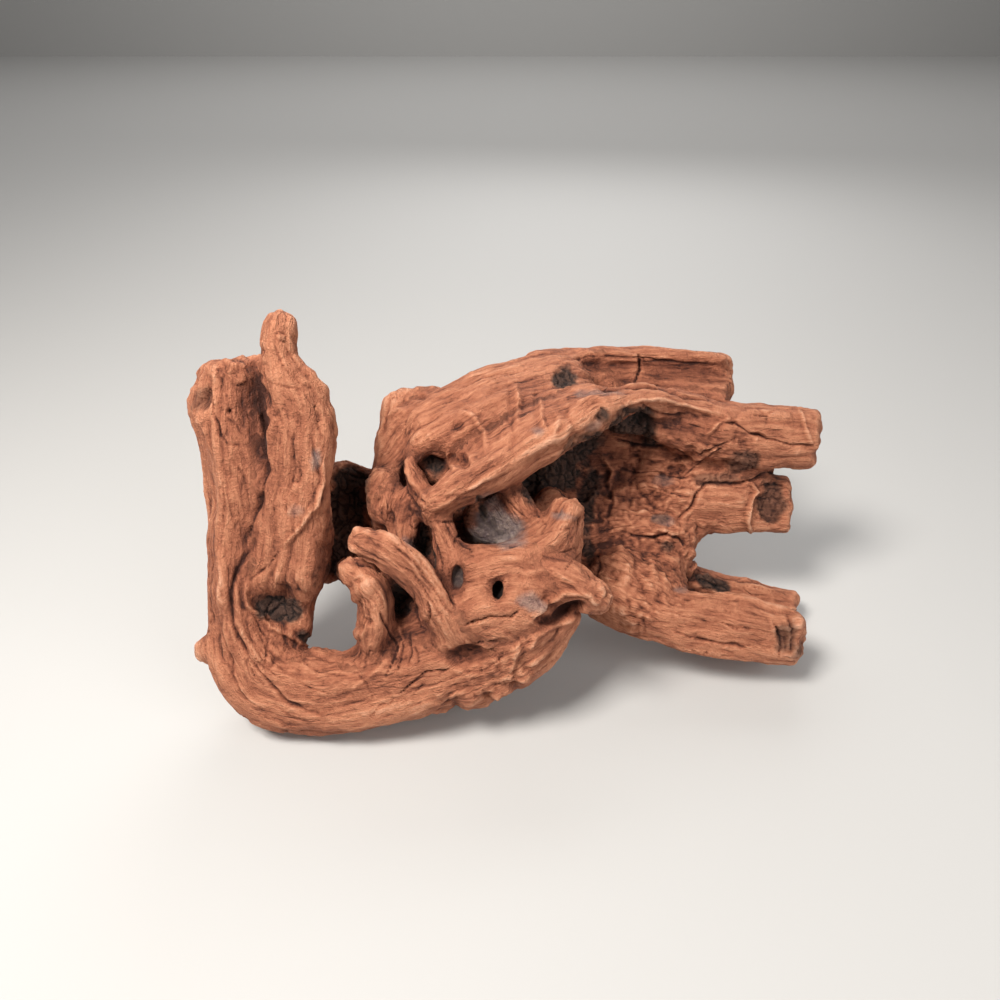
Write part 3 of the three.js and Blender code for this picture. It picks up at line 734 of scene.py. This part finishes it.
SHIELD_FOLDS = [
    (6, 0.9, (384, 421), (396, 412), (408, 411)),
    (8, 1.2, (458, 411), (472, 416), (484, 432), (486, 450)),
    (8, 1.1, (516, 384), (519, 404), (516, 424)),
    (7, 0.9, (542, 396), (541, 414), (546, 430)),
    (6, 1.8, (448, 447), (452, 459), (455, 472)),
    (8, 0.9, (576, 402), (590, 398), (608, 400)),
    (8, 0.9, (560, 412), (556, 430), (548, 444)),
    (7, 0.8, (388, 400), (384, 420), (380, 450), (372, 480)),
]
SHIELD_SWELLINGS = [
    (458, 425, 9, 8, 0, -1.8), (422, 397, 6, 5, 0, -0.9), (434, 465, 15, 12, 15, -2.6),
    (463, 461, 8, 9, 0, -2.6), (564, 377, 15, 11, -10, -1.6), (480, 415, 5, 4, 0, -0.8),
]
cut_all(SHIELD_GROOVES, widen=2.1, deepen=0.65, shade_strength=0.0)
raise_all(SHIELD_FOLDS)
swell_all(SHIELD_SWELLINGS)
print("shield strokes:", len(SHIELD_GROOVES) + len(SHIELD_FOLDS))

# %% [markdown]
# ## The bowl and the arms
# The bowl's wall is rough, like bark seen from inside. The arms are straight-grained and
# end where they were sawn or broken.

# %% The bowl and the arms
ROOF_EDGE = [(618, 410), (626, 404), (640, 401), (664, 400), (694, 407), (720, 415)]
ARM_CRACK = [(716, 420), (735, 424), (745, 431), (766, 437), (793, 446), (814, 447)]
CREVICE = [(677, 521), (691, 508), (698, 491), (706, 483), (730, 484), (753, 481), (769, 472)]
BOWL_GROOVES = [
    (5, 2.2, *ARM_CRACK),
    (6, 2.2, *CREVICE),
    (4, 1.0, (560, 362), (596, 355), (633, 358), (681, 362), (726, 367)),
    (3.5, 2.0, (639, 351), (640, 367), (635, 383)),
    (5, 1.6, (591, 387), (633, 386), (662, 386), (686, 395), (730, 400)),
    (4, 1.2, (696, 457), (715, 447), (740, 437)),
    (4, 1.0, (679, 476), (706, 461), (728, 444)),
    (5, 2.0, (769, 472), (792, 471)),
    (5, 1.9, (621, 531), (633, 537), (657, 537), (667, 534), (681, 541), (692, 549)),
    (5, 1.5, (618, 466), (633, 473), (657, 471), (667, 476), (696, 476)),
    (4, 1.2, (611, 437), (633, 444), (664, 447)),
    (5, 1.1, (669, 631), (706, 641), (745, 646), (774, 651)),
    (4, 0.7, (640, 606), (670, 612), (710, 622), (760, 630)),
    (5, 1.0, (696, 568), (730, 578), (779, 586)),
    (5, 1.2, (697, 578), (720, 590), (740, 597)),
    (4, 0.9, (650, 480), (668, 492), (690, 498)),
    (5, 0.9, (640, 490), (655, 505), (676, 514)),
    (6, 1.2, (604, 480), (612, 500), (606, 520)),
    (6, 1.2, (590, 540), (600, 560), (596, 580)),
    (5, 0.9, (640, 402), (650, 412), (668, 416), (690, 414)),
    (4, 0.8, (756, 408), (766, 414), (776, 410)),
    (4, 0.6, (712, 552), (740, 556), (770, 550)),
    (3.5, 0.8, (760, 486), (774, 484), (788, 486)),
    (3.5, 0.8, (758, 500), (774, 498), (788, 501)),
    (3.5, 0.8, (757, 514), (772, 512), (788, 515)),
    (4, 1.0, (786, 612), (793, 630), (790, 655)),
    (4, 1.2, (776, 622), (782, 640), (778, 656)),
]
BOWL_FOLDS = [
    (6, 1.0, *ROOF_EDGE),
    (5, 1.6, (752, 482), (756, 490), (748, 505), (746, 522), (752, 534)),
    (7, 1.3, (691, 586), (706, 586), (716, 593), (745, 600), (774, 607), (800, 610)),
    (6, 0.9, (706, 437), (718, 423), (730, 418)),
    (8, 1.0, (640, 540), (660, 530), (680, 536)),
    (7, 1.0, (600, 452), (612, 470), (608, 495)),
    (8, 0.8, (640, 456), (664, 460), (690, 466)),
    (6, 0.8, (800, 408), (806, 430), (812, 445)),
    (7, 1.0, (690, 545), (694, 560), (688, 578)),
]
BOWL_SWELLINGS = [
    (667, 545, 9, 7, 0, 1.4), (771, 505, 15, 26, 0, -2.0), (640, 424, 22, 14, 10, -2.0),
    (706, 468, 44, 10, -6, -1.7), (642, 500, 26, 18, 0, -1.7), (604, 516, 12, 40, 0, -1.8),
    (670, 500, 18, 14, 0, 1.2), (626, 560, 16, 20, 0, 1.2), (652, 470, 20, 8, -10, 1.2),
    (668, 566, 12, 8, 0, -1.2), (688, 424, 18, 12, 10, -1.6), (797, 622, 8, 10, 0, 1.4),
    (797, 650, 8, 10, 0, 1.2), (783, 637, 8, 10, 0, -1.6),
]
cut_all(BOWL_GROOVES, widen=1.2, deepen=1.4)
raise_all(BOWL_FOLDS, widen=1.2, heighten=1.5)
swell_all(BOWL_SWELLINGS)
print("bowl strokes:", len(BOWL_GROOVES) + len(BOWL_FOLDS))

# %% [markdown]
# ## Rot and wear
# Three things change the wood's surface in patches: rotted bark, which is black and cracked
# into small blocks, a worn grey film in the cup, and dark patches, most of them stains and
# some painted shade. Roots that cross in front of a rotted hollow are still sound. Where the
# camera can't see, rot is put deep in the hollows instead, as it is on the side that it can
# see.

# %% Rot and wear
# Each patch is its middle, its half sizes, its lean and its strength.
PATCH_SPREAD = 1.3
PATCH_EDGE_SCALE = 0.007
ROTTED_INSIDE = [
    (345, 508, 22, 44, 0, 1.0), (354, 480, 14, 12, 0, 0.9), (336, 560, 22, 30, 0, 0.9),
    (340, 615, 26, 40, 0, 1.0), (281, 607, 24, 20, 30, 1.0), (304, 636, 14, 8, 40, 1.0),
    (434, 466, 15, 11, 15, 0.9), (463, 461, 7, 9, 0, 0.7), (420, 548, 15, 18, 30, 0.9),
    (396, 594, 14, 20, 0, 0.9), (533, 478, 20, 34, 32, 1.0), (560, 462, 34, 30, -30, 0.95),
    (585, 440, 30, 16, -35, 0.8), (588, 492, 12, 40, 8, 0.7), (586, 540, 8, 26, -10, 0.6),
]
ROTTED_OUTSIDE = [
    (634, 426, 32, 20, 8, 0.9), (582, 446, 26, 14, -35, 0.85), (746, 462, 20, 12, -12, 0.6),
    (718, 479, 26, 7, 0, 0.5), (771, 500, 18, 26, 0, 0.6), (667, 546, 9, 7, 0, 0.6),
    (662, 517, 12, 7, -20, 0.5), (712, 583, 22, 9, 22, 0.8), (786, 640, 15, 22, 0, 0.55),
    (498, 589, 5, 8, 15, 0.9), (457, 578, 4, 12, 0, 0.6), (203, 398, 9, 17, 12, 0.45),
    (482, 508, 5, 12, -15, 0.7), (564, 377, 14, 11, -10, 0.85),
]
GREYED = [
    (496, 528, 30, 20, 10, 1.0), (492, 505, 14, 14, 0, 0.6), (530, 602, 16, 8, 15, 0.7),
    (316, 462, 6, 12, 0, 0.7), (298, 512, 12, 9, 0, 0.45), (268, 445, 4, 18, 0, 0.4),
    (538, 430, 9, 7, 30, 0.6), (592, 427, 12, 5, -30, 0.5), (457, 578, 4, 13, 0, 0.7),
    (562, 516, 14, 5, 8, 0.6), (410, 545, 12, 5, 40, 0.6), (660, 480, 14, 6, 0, 0.35),
    (666, 519, 13, 7, 0, 0.5), (684, 589, 9, 4, 10, 0.5), (600, 392, 30, 4, 0, 0.5),
]
# Dark stains, and painted shade: the patches at (604, 468) in the bowl's left hollow, (690,
# 428) under the bowl's roof, (262, 440) down the horn's channel and (320, 540) on the thumb's
# right side darken where shade falls.
STAINED_AND_SHADED = [
    (604, 468, 36, 40, -20, 0.8), (596, 530, 16, 50, -8, 0.8), (466, 656, 24, 12, -12, 0.9),
    (568, 610, 22, 9, -22, 0.7), (543, 622, 12, 9, 0, 0.8), (466, 546, 12, 9, 30, 0.7),
    (690, 428, 46, 20, 8, 0.85), (286, 592, 16, 9, 0, 0.8), (262, 440, 11, 70, -4, 0.7),
    (300, 350, 14, 24, 20, 0.35), (224, 430, 10, 40, 0, 0.35), (402, 590, 16, 30, -30, 0.6),
    (418, 580, 8, 44, -28, 0.5), (318, 520, 12, 40, 8, 0.6), (330, 430, 8, 30, 0, 0.4),
    (412, 470, 10, 30, 0, 0.5), (372, 548, 14, 12, 0, 0.5), (352, 600, 10, 40, 0, 0.35),
    (236, 610, 10, 60, 0, 0.45), (260, 680, 30, 14, 45, 0.35), (320, 540, 12, 40, 12, 0.5),
    (620, 500, 40, 60, 0, 0.25), (460, 425, 14, 10, 0, 0.5), (650, 372, 90, 10, 2, 0.35),
    (330, 400, 8, 30, 0, 0.3), (394, 515, 24, 16, 0, 0.5), (390, 650, 14, 22, 0, 0.5),
]
REACH = 0.03
OPEN_SKY = 12
RAY_LIFT = 0.0006
HOLLOW_PASSES = 3
SHALLOWEST_ROT = 0.1
DEEP_ROT = 0.42
DEEP_ROT_SCALE = 0.012
SIDEWAYS = [0.31, 0.87, 0.38]
STILL_SOUND = ("rim", "ledge", "beak", "snout", "neck", "upper_thumb", "lower_thumb", "spike")


def patched(patches):
    """The strongest of the patches at every corner, ragged at the edges."""
    total = np.zeros(len(places))
    ragged = 0.9 * layered(places / PATCH_EDGE_SCALE, 5)
    for across, down, wide, high, lean, strength in patches:
        patch = oval(across, down, PATCH_SPREAD * wide, PATCH_SPREAD * high, lean)
        edge = np.clip((patch + ragged * (patch > 0) - 0.2) / 0.6, 0, 1) * (patch > 0)
        total = np.maximum(total, strength * edge)
    return total * in_front


def hemisphere(count):
    """Evenly spread directions in the upper half of a ball."""
    turn = np.arange(count) * math.pi * (3 - math.sqrt(5))
    height = (np.arange(count) + 0.5) / count
    flat = np.sqrt(1 - height**2)
    return np.stack([flat * np.cos(turn), flat * np.sin(turn), height], axis=1)


def hollowness(places, normals, tree):
    """The share of directions in which other wood is near: 0 in the open."""
    side = np.cross(normals, SIDEWAYS)
    side /= np.linalg.norm(side, axis=1)[:, None]
    front = np.cross(normals, side)
    blocked = np.zeros(len(places))
    for x, y, z in hemisphere(OPEN_SKY):
        directions = x * side + y * front + z * normals
        starts = places + normals * RAY_LIFT
        for i in range(len(places)):
            hit = tree.ray_cast(starts[i], directions[i], REACH)
            if hit[0] is not None:
                blocked[i] += 1 - hit[3] / REACH
    return blocked / OPEN_SKY


# How closely other wood surrounds each corner. It says where rot lies, and the finish paints
# shade by it.
hollow_and_shade = smoothed(hollowness(places, normals, skin_tree), edges, HOLLOW_PASSES)
sound = share_of(STILL_SOUND)
rot = patched(ROTTED_INSIDE) * np.clip(1 - 1.3 * sound, 0, 1)
rot *= np.clip(hollow_and_shade / SHALLOWEST_ROT, 0, 1)
rot = np.maximum(rot, patched(ROTTED_OUTSIDE))
deep_inside = np.clip((hollow_and_shade - DEEP_ROT) / 0.2, 0, 1) * (1 - in_front)
deep_rot = deep_inside * np.clip(0.6 + layered(places / DEEP_ROT_SCALE, 21), 0, 1)
rot = np.maximum(rot, deep_rot)
grey = patched(GREYED)
stain_and_shade = patched(STAINED_AND_SHADED)
print("rotted corners:", int((rot > 0.5).sum()))

# %% [markdown]
# ## Relief along the grain
# Most of the wood's relief follows its fibres: broad bundles, furrows between them, fine
# fibres, and drying cracks, which open only here and there. Each is noise in the stems' own
# coordinates, much longer than it is wide.

# %% Relief along the grain
# Each size is across the grain and along it, in metres.
BUNDLE_SIZE, BUNDLE_MM = (0.0065, 0.06), 0.45
FIBRE_SIZE, FIBRE_MM = (0.0028, 0.03), 0.35
CRACK_SIZE, CRACK_MM = (0.0045, 0.055), 0.8
FURROW_SIZE, FURROW_MM = (0.0055, 0.028), 0.75
CRACKED_SCALE = 0.02
CRACK_HALF = 0.05


def two_layers(points, seed):
    return layered(points, seed, 2)


def furrowed(points, seed):
    """Sharp valleys between round ridges."""
    return 2.4 * np.abs(two_layers(points, seed)) - 0.6


bundles = along_grain(noise, *BUNDLE_SIZE, 1)
fibres = along_grain(two_layers, *FIBRE_SIZE, 2)
wander = along_grain(noise, *CRACK_SIZE, 3)
where_cracked = np.clip(2.5 * layered(places / CRACKED_SCALE, 6) - 0.2, 0, 1)
cracks = np.clip(1 - np.abs(wander) / CRACK_HALF, 0, 1) * where_cracked
furrows = along_grain(furrowed, *FURROW_SIZE, 4)
print("share of cracked corners:", round(float((cracks > 0.3).mean()), 3))

# %% [markdown]
# ## Lumps, crags and bark
# Some relief doesn't follow the grain: soft swells and lumps, grit, the crags on the bowl's
# wall, edges that weather has made ragged, and rotted bark, which splits into small blocks.
# Where the wood is rotted, craggy or worn smooth, the fibres are fainter.

# %% Lumps, crags and bark
LUMP_SCALE, LUMP_MM = 0.006, 0.5
SWELL_SCALE, SWELL_MM = 0.017, 1.3
GRIT_SCALE, GRIT_MM = 0.0022, 0.22
RAGGED_SCALE, RAGGED_MM = 0.0085, 1.7
CRAG_SCALE, CRAG_MM = np.array([0.0105, 0.009, 0.0085]), 1.6
FINE_CRAG_SCALE, FINE_CRAG_MM = 0.0044, 1.0
BARK_LUMP_SCALE, BARK_LUMP_MM = 0.0055, 1.4
BLOCK_SCALE, BLOCK_MM = np.array([0.0036, 0.0036, 0.0056]), 1.3
CRAG_LINE_HALF = 0.07
WARP_SCALE = 0.005
RAGGED = [
    (490, 680, 70, 22, -22, 1.0), (330, 640, 40, 22, 10, 0.8), (300, 350, 34, 30, 0, 0.5),
    (350, 560, 34, 90, 0, 0.5), (236, 372, 40, 20, 0, 0.7), (372, 480, 30, 60, 0, 0.5),
]
ROUGH_BOWL = [
    (640, 520, 64, 92, 0, 1.0), (640, 590, 60, 40, 20, 1.0), (690, 440, 60, 40, 10, 0.6),
]
WORN_CUP = [(496, 525, 32, 26, 10, 1.0)]

warp = np.stack([noise(places / WARP_SCALE, seed) for seed in (8, 18, 28)], axis=1)
blocks = np.clip(cell_cracks(places / BLOCK_SCALE + 0.7 * warp, 7) / 0.2, 0, 1)
bark_lumps = layered(places / BARK_LUMP_SCALE, 38)
lumps = layered(places / LUMP_SCALE, 9)
swells = layered(places / SWELL_SCALE, 14, 2)
grit = layered(places / GRIT_SCALE, 15, 2)
edge_teeth = 2.6 * np.abs(layered(places / RAGGED_SCALE, 71)) - 0.6
crags = np.abs(layered(places / CRAG_SCALE + 0.2 * warp, 10, 4))
fine_crags = np.abs(layered(places / FINE_CRAG_SCALE, 16, 2))
bowl = share_of(("bowl_roof", "bowl_wall", "bowl_floor"))
rough_wall = np.maximum(patched(ROUGH_BOWL), 0.8 * bowl * (1 - in_front))
crag_lines = rough_wall * np.clip(1 - crags / CRAG_LINE_HALF, 0, 1)
ragged_part = patched(RAGGED)
smooth_part = patched(WORN_CUP)
calm = (1 - 0.85 * smooth_part) * (1 - 0.6 * rot) * (1 - 0.7 * rough_wall)
print("share of craggy corners:", round(float((rough_wall > 0.5).mean()), 3))

# %% [markdown]
# ## Moving the skin
# All the relief is added to the strokes, and then every corner moves once along its normal.
# Nothing may sink under the surface that the wood lies on.

# %% Moving the skin
displacement += MM * calm * (BUNDLE_MM * bundles + FURROW_MM * furrows)
displacement += MM * calm * (FIBRE_MM * fibres - CRACK_MM * cracks)
displacement += MM * (1 - smooth_part) * (LUMP_MM * lumps + SWELL_MM * swells + GRIT_MM * grit)
displacement += MM * rough_wall * CRAG_MM * (2.8 * crags - 0.7)
displacement += MM * rough_wall * FINE_CRAG_MM * (2.4 * fine_crags - 0.6)
displacement += MM * ragged_part * RAGGED_MM * edge_teeth
displacement += MM * rot * (BLOCK_MM * (blocks - 1) + BARK_LUMP_MM * bark_lumps)
places = places + normals * displacement[:, None]
places[:, 2] = np.maximum(places[:, 2], 0)
put_back(wood.data, places)
print("deepest, mm:", round(float(displacement.min() / MM), 2))
print("highest, mm:", round(float(displacement.max() / MM), 2))

# %% [markdown]
# ## What the finish needs to know
# The material reads a few numbers at every corner: how rotted, grey and stained it is, where
# patches, hollows and grooves get painted shade, how sunken or raised it is against its
# surroundings, and its grain coordinates. They are stored on the mesh, so that the finish
# stays in place whatever the camera does. Then the mesh is thinned, most where it is flat.

# %% What the finish needs to know
TRIANGLES_WANTED = 190000
RIDGE_SCALE = 0.0005
SMALL_PASSES, BROAD_PASSES = 4, 40
SURE_GAP = 0.004
# Every stem's coordinates start elsewhere, so no two stems carry the same streaks.
STEM_SHIFT = 0.37


def store(mesh, name, values, kind="FLOAT"):
    attribute = mesh.attributes.new(name, kind, "POINT")
    field = "vector" if kind == "FLOAT_VECTOR" else "value"
    attribute.data.foreach_set(field, values.astype(np.float32).ravel())


def raised(places, normals, edges, passes, scale):
    """How far a corner stands out of its surroundings, from -1 to 1."""
    out = ((places - smoothed(places, edges, passes)) * normals).sum(axis=1)
    return np.clip(out / scale, -1, 1)


normals = normals_of(wood.data)
# Where two stems are equally near, the fibres' way is not sure, and streaks are left out.
nearest_stem, second_stem = np.argsort(away, axis=0)[:2]
rows = np.arange(len(places))
gap = away[second_stem, rows] - away[nearest_stem, rows]
mesh = wood.data
stored = {
    # How closely other wood surrounds a corner, which the finish turns into painted shade.
    "hollow_and_shade": hollow_and_shade,
    "rot": rot,
    "grey": grey,
    # Stains, and painted shade in a few patches.
    "stain_and_shade": stain_and_shade,
    "bark_gaps": (1 - blocks) * rot,
    # Painted shade in the carved grooves, the drying cracks and the valleys between crags.
    "painted_groove_shade": np.maximum(painted_groove_shade, 0.6 * cracks * calm + 0.3 * crag_lines),
    "fibre_sure": np.clip(gap / SURE_GAP, 0, 1),
    "fibre_tone": np.clip(0.5 + 0.5 * (0.6 * fibres + 0.7 * bundles), 0, 1),
    "small_ridge": raised(places, normals, edges, SMALL_PASSES, RIDGE_SCALE),
    # Paler on broad raised forms, as wear, and darker in broad recesses, as painted shade.
    "broad_wear_and_shade": raised(places, normals, edges, BROAD_PASSES, 4 * RIDGE_SCALE),
}
for name, values in stored.items():
    store(mesh, name, values)
stem_grain = grain[nearest_stem, rows] + STEM_SHIFT * nearest_stem[:, None]
store(mesh, "grain", stem_grain, "FLOAT_VECTOR")

thinning = wood.modifiers.new("fewer_faces", "DECIMATE")
mesh.calc_loop_triangles()
thinning.ratio = min(1.0, TRIANGLES_WANTED / len(mesh.loop_triangles))
final_mesh = applied(wood, "weathered_wood")
wood.modifiers.clear()
wood.data = final_mesh
final_mesh.calc_loop_triangles()
for face in final_mesh.polygons:
    face.use_smooth = True
print("finished skin:", len(final_mesh.loop_triangles), "triangles")

# %% [markdown]
# ## The finish
# Dry red wood is matt, and its colour follows its surface: worn ridges are pale orange, and
# fibres are streaked. Hollows, broad recesses and grooves get painted shade. The streaks are
# noise that is stretched along the grain coordinates. Fine drying cracks, called checks, come
# from long cells. Rot, the grey film, stains and the painted shade are mixed in by the numbers
# stored on the mesh.

# %% The finish
ALONG_FIBRES = (1, 1, 0.12)
ALONG_CHECKS = (1, 1, 0.22)
finish_of_wood = bpy.data.materials.new("weathered_red_wood")
finish_of_wood.use_nodes = True
nodes = finish_of_wood.node_tree.nodes
links = finish_of_wood.node_tree.links
shader = nodes["Principled BSDF"]


def node(kind, settings=None, **inputs):
    """A new node. Inputs are values, or other nodes' outputs to be linked in."""
    made = nodes.new(kind)
    for name, value in (settings or {}).items():
        setattr(made, name, value)
    for name, value in inputs.items():
        key = int(name[2:]) if name.startswith("in") else name.replace("_", " ")
        if isinstance(value, bpy.types.NodeSocket):
            links.new(value, made.inputs[key])
        else:
            made.inputs[key].default_value = value
    return made


def stored_at(name):
    return node("ShaderNodeAttribute", {"attribute_name": name})


def number(name):
    return stored_at(name).outputs["Fac"]


def added(a, b):
    return node("ShaderNodeMath", {"operation": "ADD"}, in0=a, in1=b).outputs[0]


def times(a, b):
    return node("ShaderNodeMath", {"operation": "MULTIPLY"}, in0=a, in1=b).outputs[0]


def between(value, low, high, to_low=0.0, to_high=1.0):
    """The value brought from one range to another, and kept inside it."""
    return node("ShaderNodeMapRange", None, Value=value, From_Min=low, From_Max=high,
                To_Min=to_low, To_Max=to_high).outputs[0]


def speckle(coordinates, size_mm, detail, stretch=(1, 1, 1), bend=0.0):
    """Noise with spots of about that size, stretched and bent."""
    placed = node("ShaderNodeMapping", None, Vector=coordinates, Scale=stretch)
    return node("ShaderNodeTexNoise", None, Vector=placed.outputs[0], Scale=1000 / size_mm,
                Detail=detail, Roughness=0.6, Distortion=bend).outputs["Fac"]


def crackle(coordinates, size_mm, stretch):
    """0 on the cracks between cells of about that size, and 1 away from them."""
    placed = node("ShaderNodeMapping", None, Vector=coordinates, Scale=stretch)
    cells = node("ShaderNodeTexVoronoi", {"feature": "DISTANCE_TO_EDGE"},
                 Vector=placed.outputs[0], Scale=1000 / size_mm)
    return between(cells.outputs["Distance"], 0.0, 0.09)


def mixed(share, first, second):
    """Two colours mixed by a share."""
    mix = node("ShaderNodeMix", {"data_type": "RGBA"}, in0=share, in6=first, in7=second)
    return mix.outputs[2]


def ramp(value, stops):
    """Colours by value, from a list of place and colour."""
    band = node("ShaderNodeValToRGB", None, Fac=value)
    points = band.color_ramp.elements
    while len(points) < len(stops):
        points.new(0.5)
    for point, (place, colour) in zip(points, stops):
        point.position = place
        point.color = colour
    return band.outputs[0]


object_place = node("ShaderNodeTexCoord").outputs["Object"]
grain_place = stored_at("grain").outputs["Vector"]
sure = number("fibre_sure")
streaks = speckle(grain_place, 2.4, 5.0, ALONG_FIBRES, 0.5)
fine_streaks = speckle(grain_place, 0.9, 4.0, ALONG_FIBRES, 0.4)
spots = speckle(object_place, 1.8, 5.0)
checks = crackle(grain_place, 3.6, ALONG_CHECKS)
where_checked = between(speckle(object_place, 14, 2.0), 0.48, 0.6)
check_lines = times(times(added(times(checks, -1.0), 1.0), where_checked), sure)
clouds = speckle(object_place, 22, 3.0)
print("finish: patterns made")

# %% [markdown]
# ## The finish: colour
# One number says how pale the wood is at a place. It adds up the streaks, the clouds, the
# ridges, the stains and the painted shade in hollows, recesses and grooves, and a ramp of five
# browns turns it into a colour.

# %% The finish: colour
DARK_BROWN = (0.05, 0.013, 0.007, 1)
RED_BROWN = (0.165, 0.048, 0.024, 1)
TERRACOTTA = (0.36, 0.122, 0.062, 1)
PALE_ORANGE = (0.53, 0.212, 0.112, 1)
WORN_PINK = (0.69, 0.345, 0.212, 1)
CHARRED = (0.012, 0.008, 0.0065, 1)
ROTTED_BROWN = (0.075, 0.04, 0.028, 1)
FILM_GREY = (0.30, 0.235, 0.20, 1)
SLATE = (0.13, 0.10, 0.105, 1)

PALENESS = 0.31
# Each part of the paleness, and how much it counts.
PARTS = [
    (between(streaks, 0.3, 0.7), 0.30),
    (times(between(fine_streaks, 0.3, 0.7), sure), 0.15),
    (between(spots, 0.3, 0.7, -0.5, 0.5), 0.14),
    (between(clouds, 0.3, 0.7, -0.5, 0.5), 0.16),
    (between(number("fibre_tone"), 0, 1, -0.5, 0.5), 0.22),
    (number("small_ridge"), 0.22),
    # Paler on broad raised forms, as wear, and darker in broad recesses, as painted shade.
    (number("broad_wear_and_shade"), 0.22),
    # Painted shade: darker where other wood closes in round a place.
    (number("hollow_and_shade"), -0.6),
    # Stains, and painted shade in a few patches.
    (number("stain_and_shade"), -0.24),
    # Painted shade in grooves, cracks and crag valleys.
    (number("painted_groove_shade"), -0.24),
    (check_lines, -0.12),
    (between(streaks, 0.32, 0.44, 1, 0), -0.13),
    (between(fine_streaks, 0.32, 0.42, 1, 0), -0.09),
]
paleness = PALENESS
for part, weight in PARTS:
    paleness = added(times(part, weight), paleness)
# Painted shade pulls the paleness down towards the dark and red browns.
wood_colour = ramp(paleness, [
    (0.0, DARK_BROWN), (0.2, RED_BROWN), (0.45, TERRACOTTA), (0.68, PALE_ORANGE),
    (0.95, WORN_PINK),
])
block_tone = between(added(spots, times(number("small_ridge"), 0.3)), 0.3, 0.8)
rot_colour = mixed(block_tone, CHARRED, ROTTED_BROWN)
rot_colour = mixed(number("bark_gaps"), rot_colour, CHARRED)
film_colour = mixed(between(spots, 0.35, 0.65), SLATE, FILM_GREY)
colour = mixed(between(number("grey"), 0.1, 0.9, 0, 0.85), wood_colour, film_colour)
colour = mixed(between(number("rot"), 0.15, 0.75, 0, 0.94), colour, rot_colour)
links.new(colour, shader.inputs["Base Color"])
print("finish: colour made")

# %% [markdown]
# ## The finish: gloss and small relief
# Bump only carries what is finer than the mesh: the pores and the hair-fine fibres. Ridges
# are rubbed a little smoother than hollows.

# %% The finish: gloss and small relief
DUSTY, RUBBED = 0.88, 0.66
SPECULAR = 0.32
HAIR_DEPTH = 0.0015
rubbed = between(number("small_ridge"), -1, 1, DUSTY, RUBBED)
roughness = added(rubbed, times(between(spots, 0.3, 0.7, -0.5, 0.5), 0.12))
links.new(roughness, shader.inputs["Roughness"])
shader.inputs["Specular IOR Level"].default_value = SPECULAR
hair_fibres = times(added(times(fine_streaks, 0.7), times(streaks, 0.9)), sure)
pores = speckle(object_place, 0.7, 4.0)
small_relief = added(hair_fibres, times(added(pores, times(spots, 1.4)), 0.6))
small_relief = added(small_relief, times(check_lines, -0.35))
bump = node("ShaderNodeBump", None, Height=small_relief, Strength=1.0, Distance=HAIR_DEPTH)
links.new(bump.outputs[0], shader.inputs["Normal"])
wood.data.materials.append(finish_of_wood)
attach(wood, "root")
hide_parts("driftwood")
print("finish: done, nodes:", len(nodes))

# %% [markdown]
# ## Floor and light
# The wood lies on a plain pale floor, whose far edge is drawn up into a backdrop with a
# light of its own. A soft light stands to the upper left, as a window does, weaker ones
# fill from the right and the back, and a pale sky lights the rest.

# %% Floor and light
FLOOR_HALF = 3.0
BACKDROP_HEIGHT = 2.5
PALE_GREY = (0.47, 0.46, 0.445, 1)
WINDOW_LIGHT = (1.0, 0.97, 0.93)
SKY_STRENGTH = 0.2
WOOD_MIDDLE = (0, 0, 0.06)
BACKDROP_FOOT = (0, 2.6, 0)
floor_shape = bmesh.new()
bmesh.ops.create_grid(floor_shape, x_segments=1, y_segments=1, size=FLOOR_HALF)
far_edge = [e for e in floor_shape.edges if all(v.co.y > 0 for v in e.verts)]
backdrop = bmesh.ops.extrude_edge_only(floor_shape, edges=far_edge)
raised_corners = [g for g in backdrop["geom"] if isinstance(g, bmesh.types.BMVert)]
bmesh.ops.translate(floor_shape, verts=raised_corners, vec=(0, 0, BACKDROP_HEIGHT))
floor_mesh = bpy.data.meshes.new("floor")
floor_shape.to_mesh(floor_mesh)
floor_shape.free()
floor = put_in_scene("floor", floor_mesh)
floor_finish = bpy.data.materials.new("pale_floor")
floor_finish.use_nodes = True
floor_shader = floor_finish.node_tree.nodes["Principled BSDF"]
floor_shader.inputs["Base Color"].default_value = PALE_GREY
floor_shader.inputs["Roughness"].default_value = 0.7
floor_mesh.materials.append(floor_finish)


def soft_light(name, place, size, watts, colour=(1, 1, 1), lit=WOOD_MIDDLE):
    """A square area light that shines at the wood, or at another place."""
    light = bpy.data.lights.new(name, "AREA")
    light.size = size
    light.energy = watts
    light.color = colour
    lamp = put_in_scene(name, light)
    lamp.location = place
    aim = Vector(lit) - Vector(place)
    lamp.rotation_euler = aim.to_track_quat("-Z", "Y").to_euler()


soft_light("window", (-0.3, -0.25, 0.66), 0.22, 8.2, WINDOW_LIGHT)
soft_light("fill", (0.6, -0.5, 0.45), 0.6, 3.6)
soft_light("back", (0.1, 0.8, 0.6), 0.6, 3)
soft_light("backdrop", (0, 1.6, 1.9), 1.6, 26, lit=BACKDROP_FOOT)
world = bpy.data.worlds.new("studio")
bpy.context.scene.world = world
world.use_nodes = True
sky = world.node_tree.nodes["Background"]
sky.inputs["Color"].default_value = (1, 1, 1, 1)
sky.inputs["Strength"].default_value = SKY_STRENGTH
bpy.context.scene.view_settings.view_transform = "Standard"
print("lights:", len(bpy.data.lights))
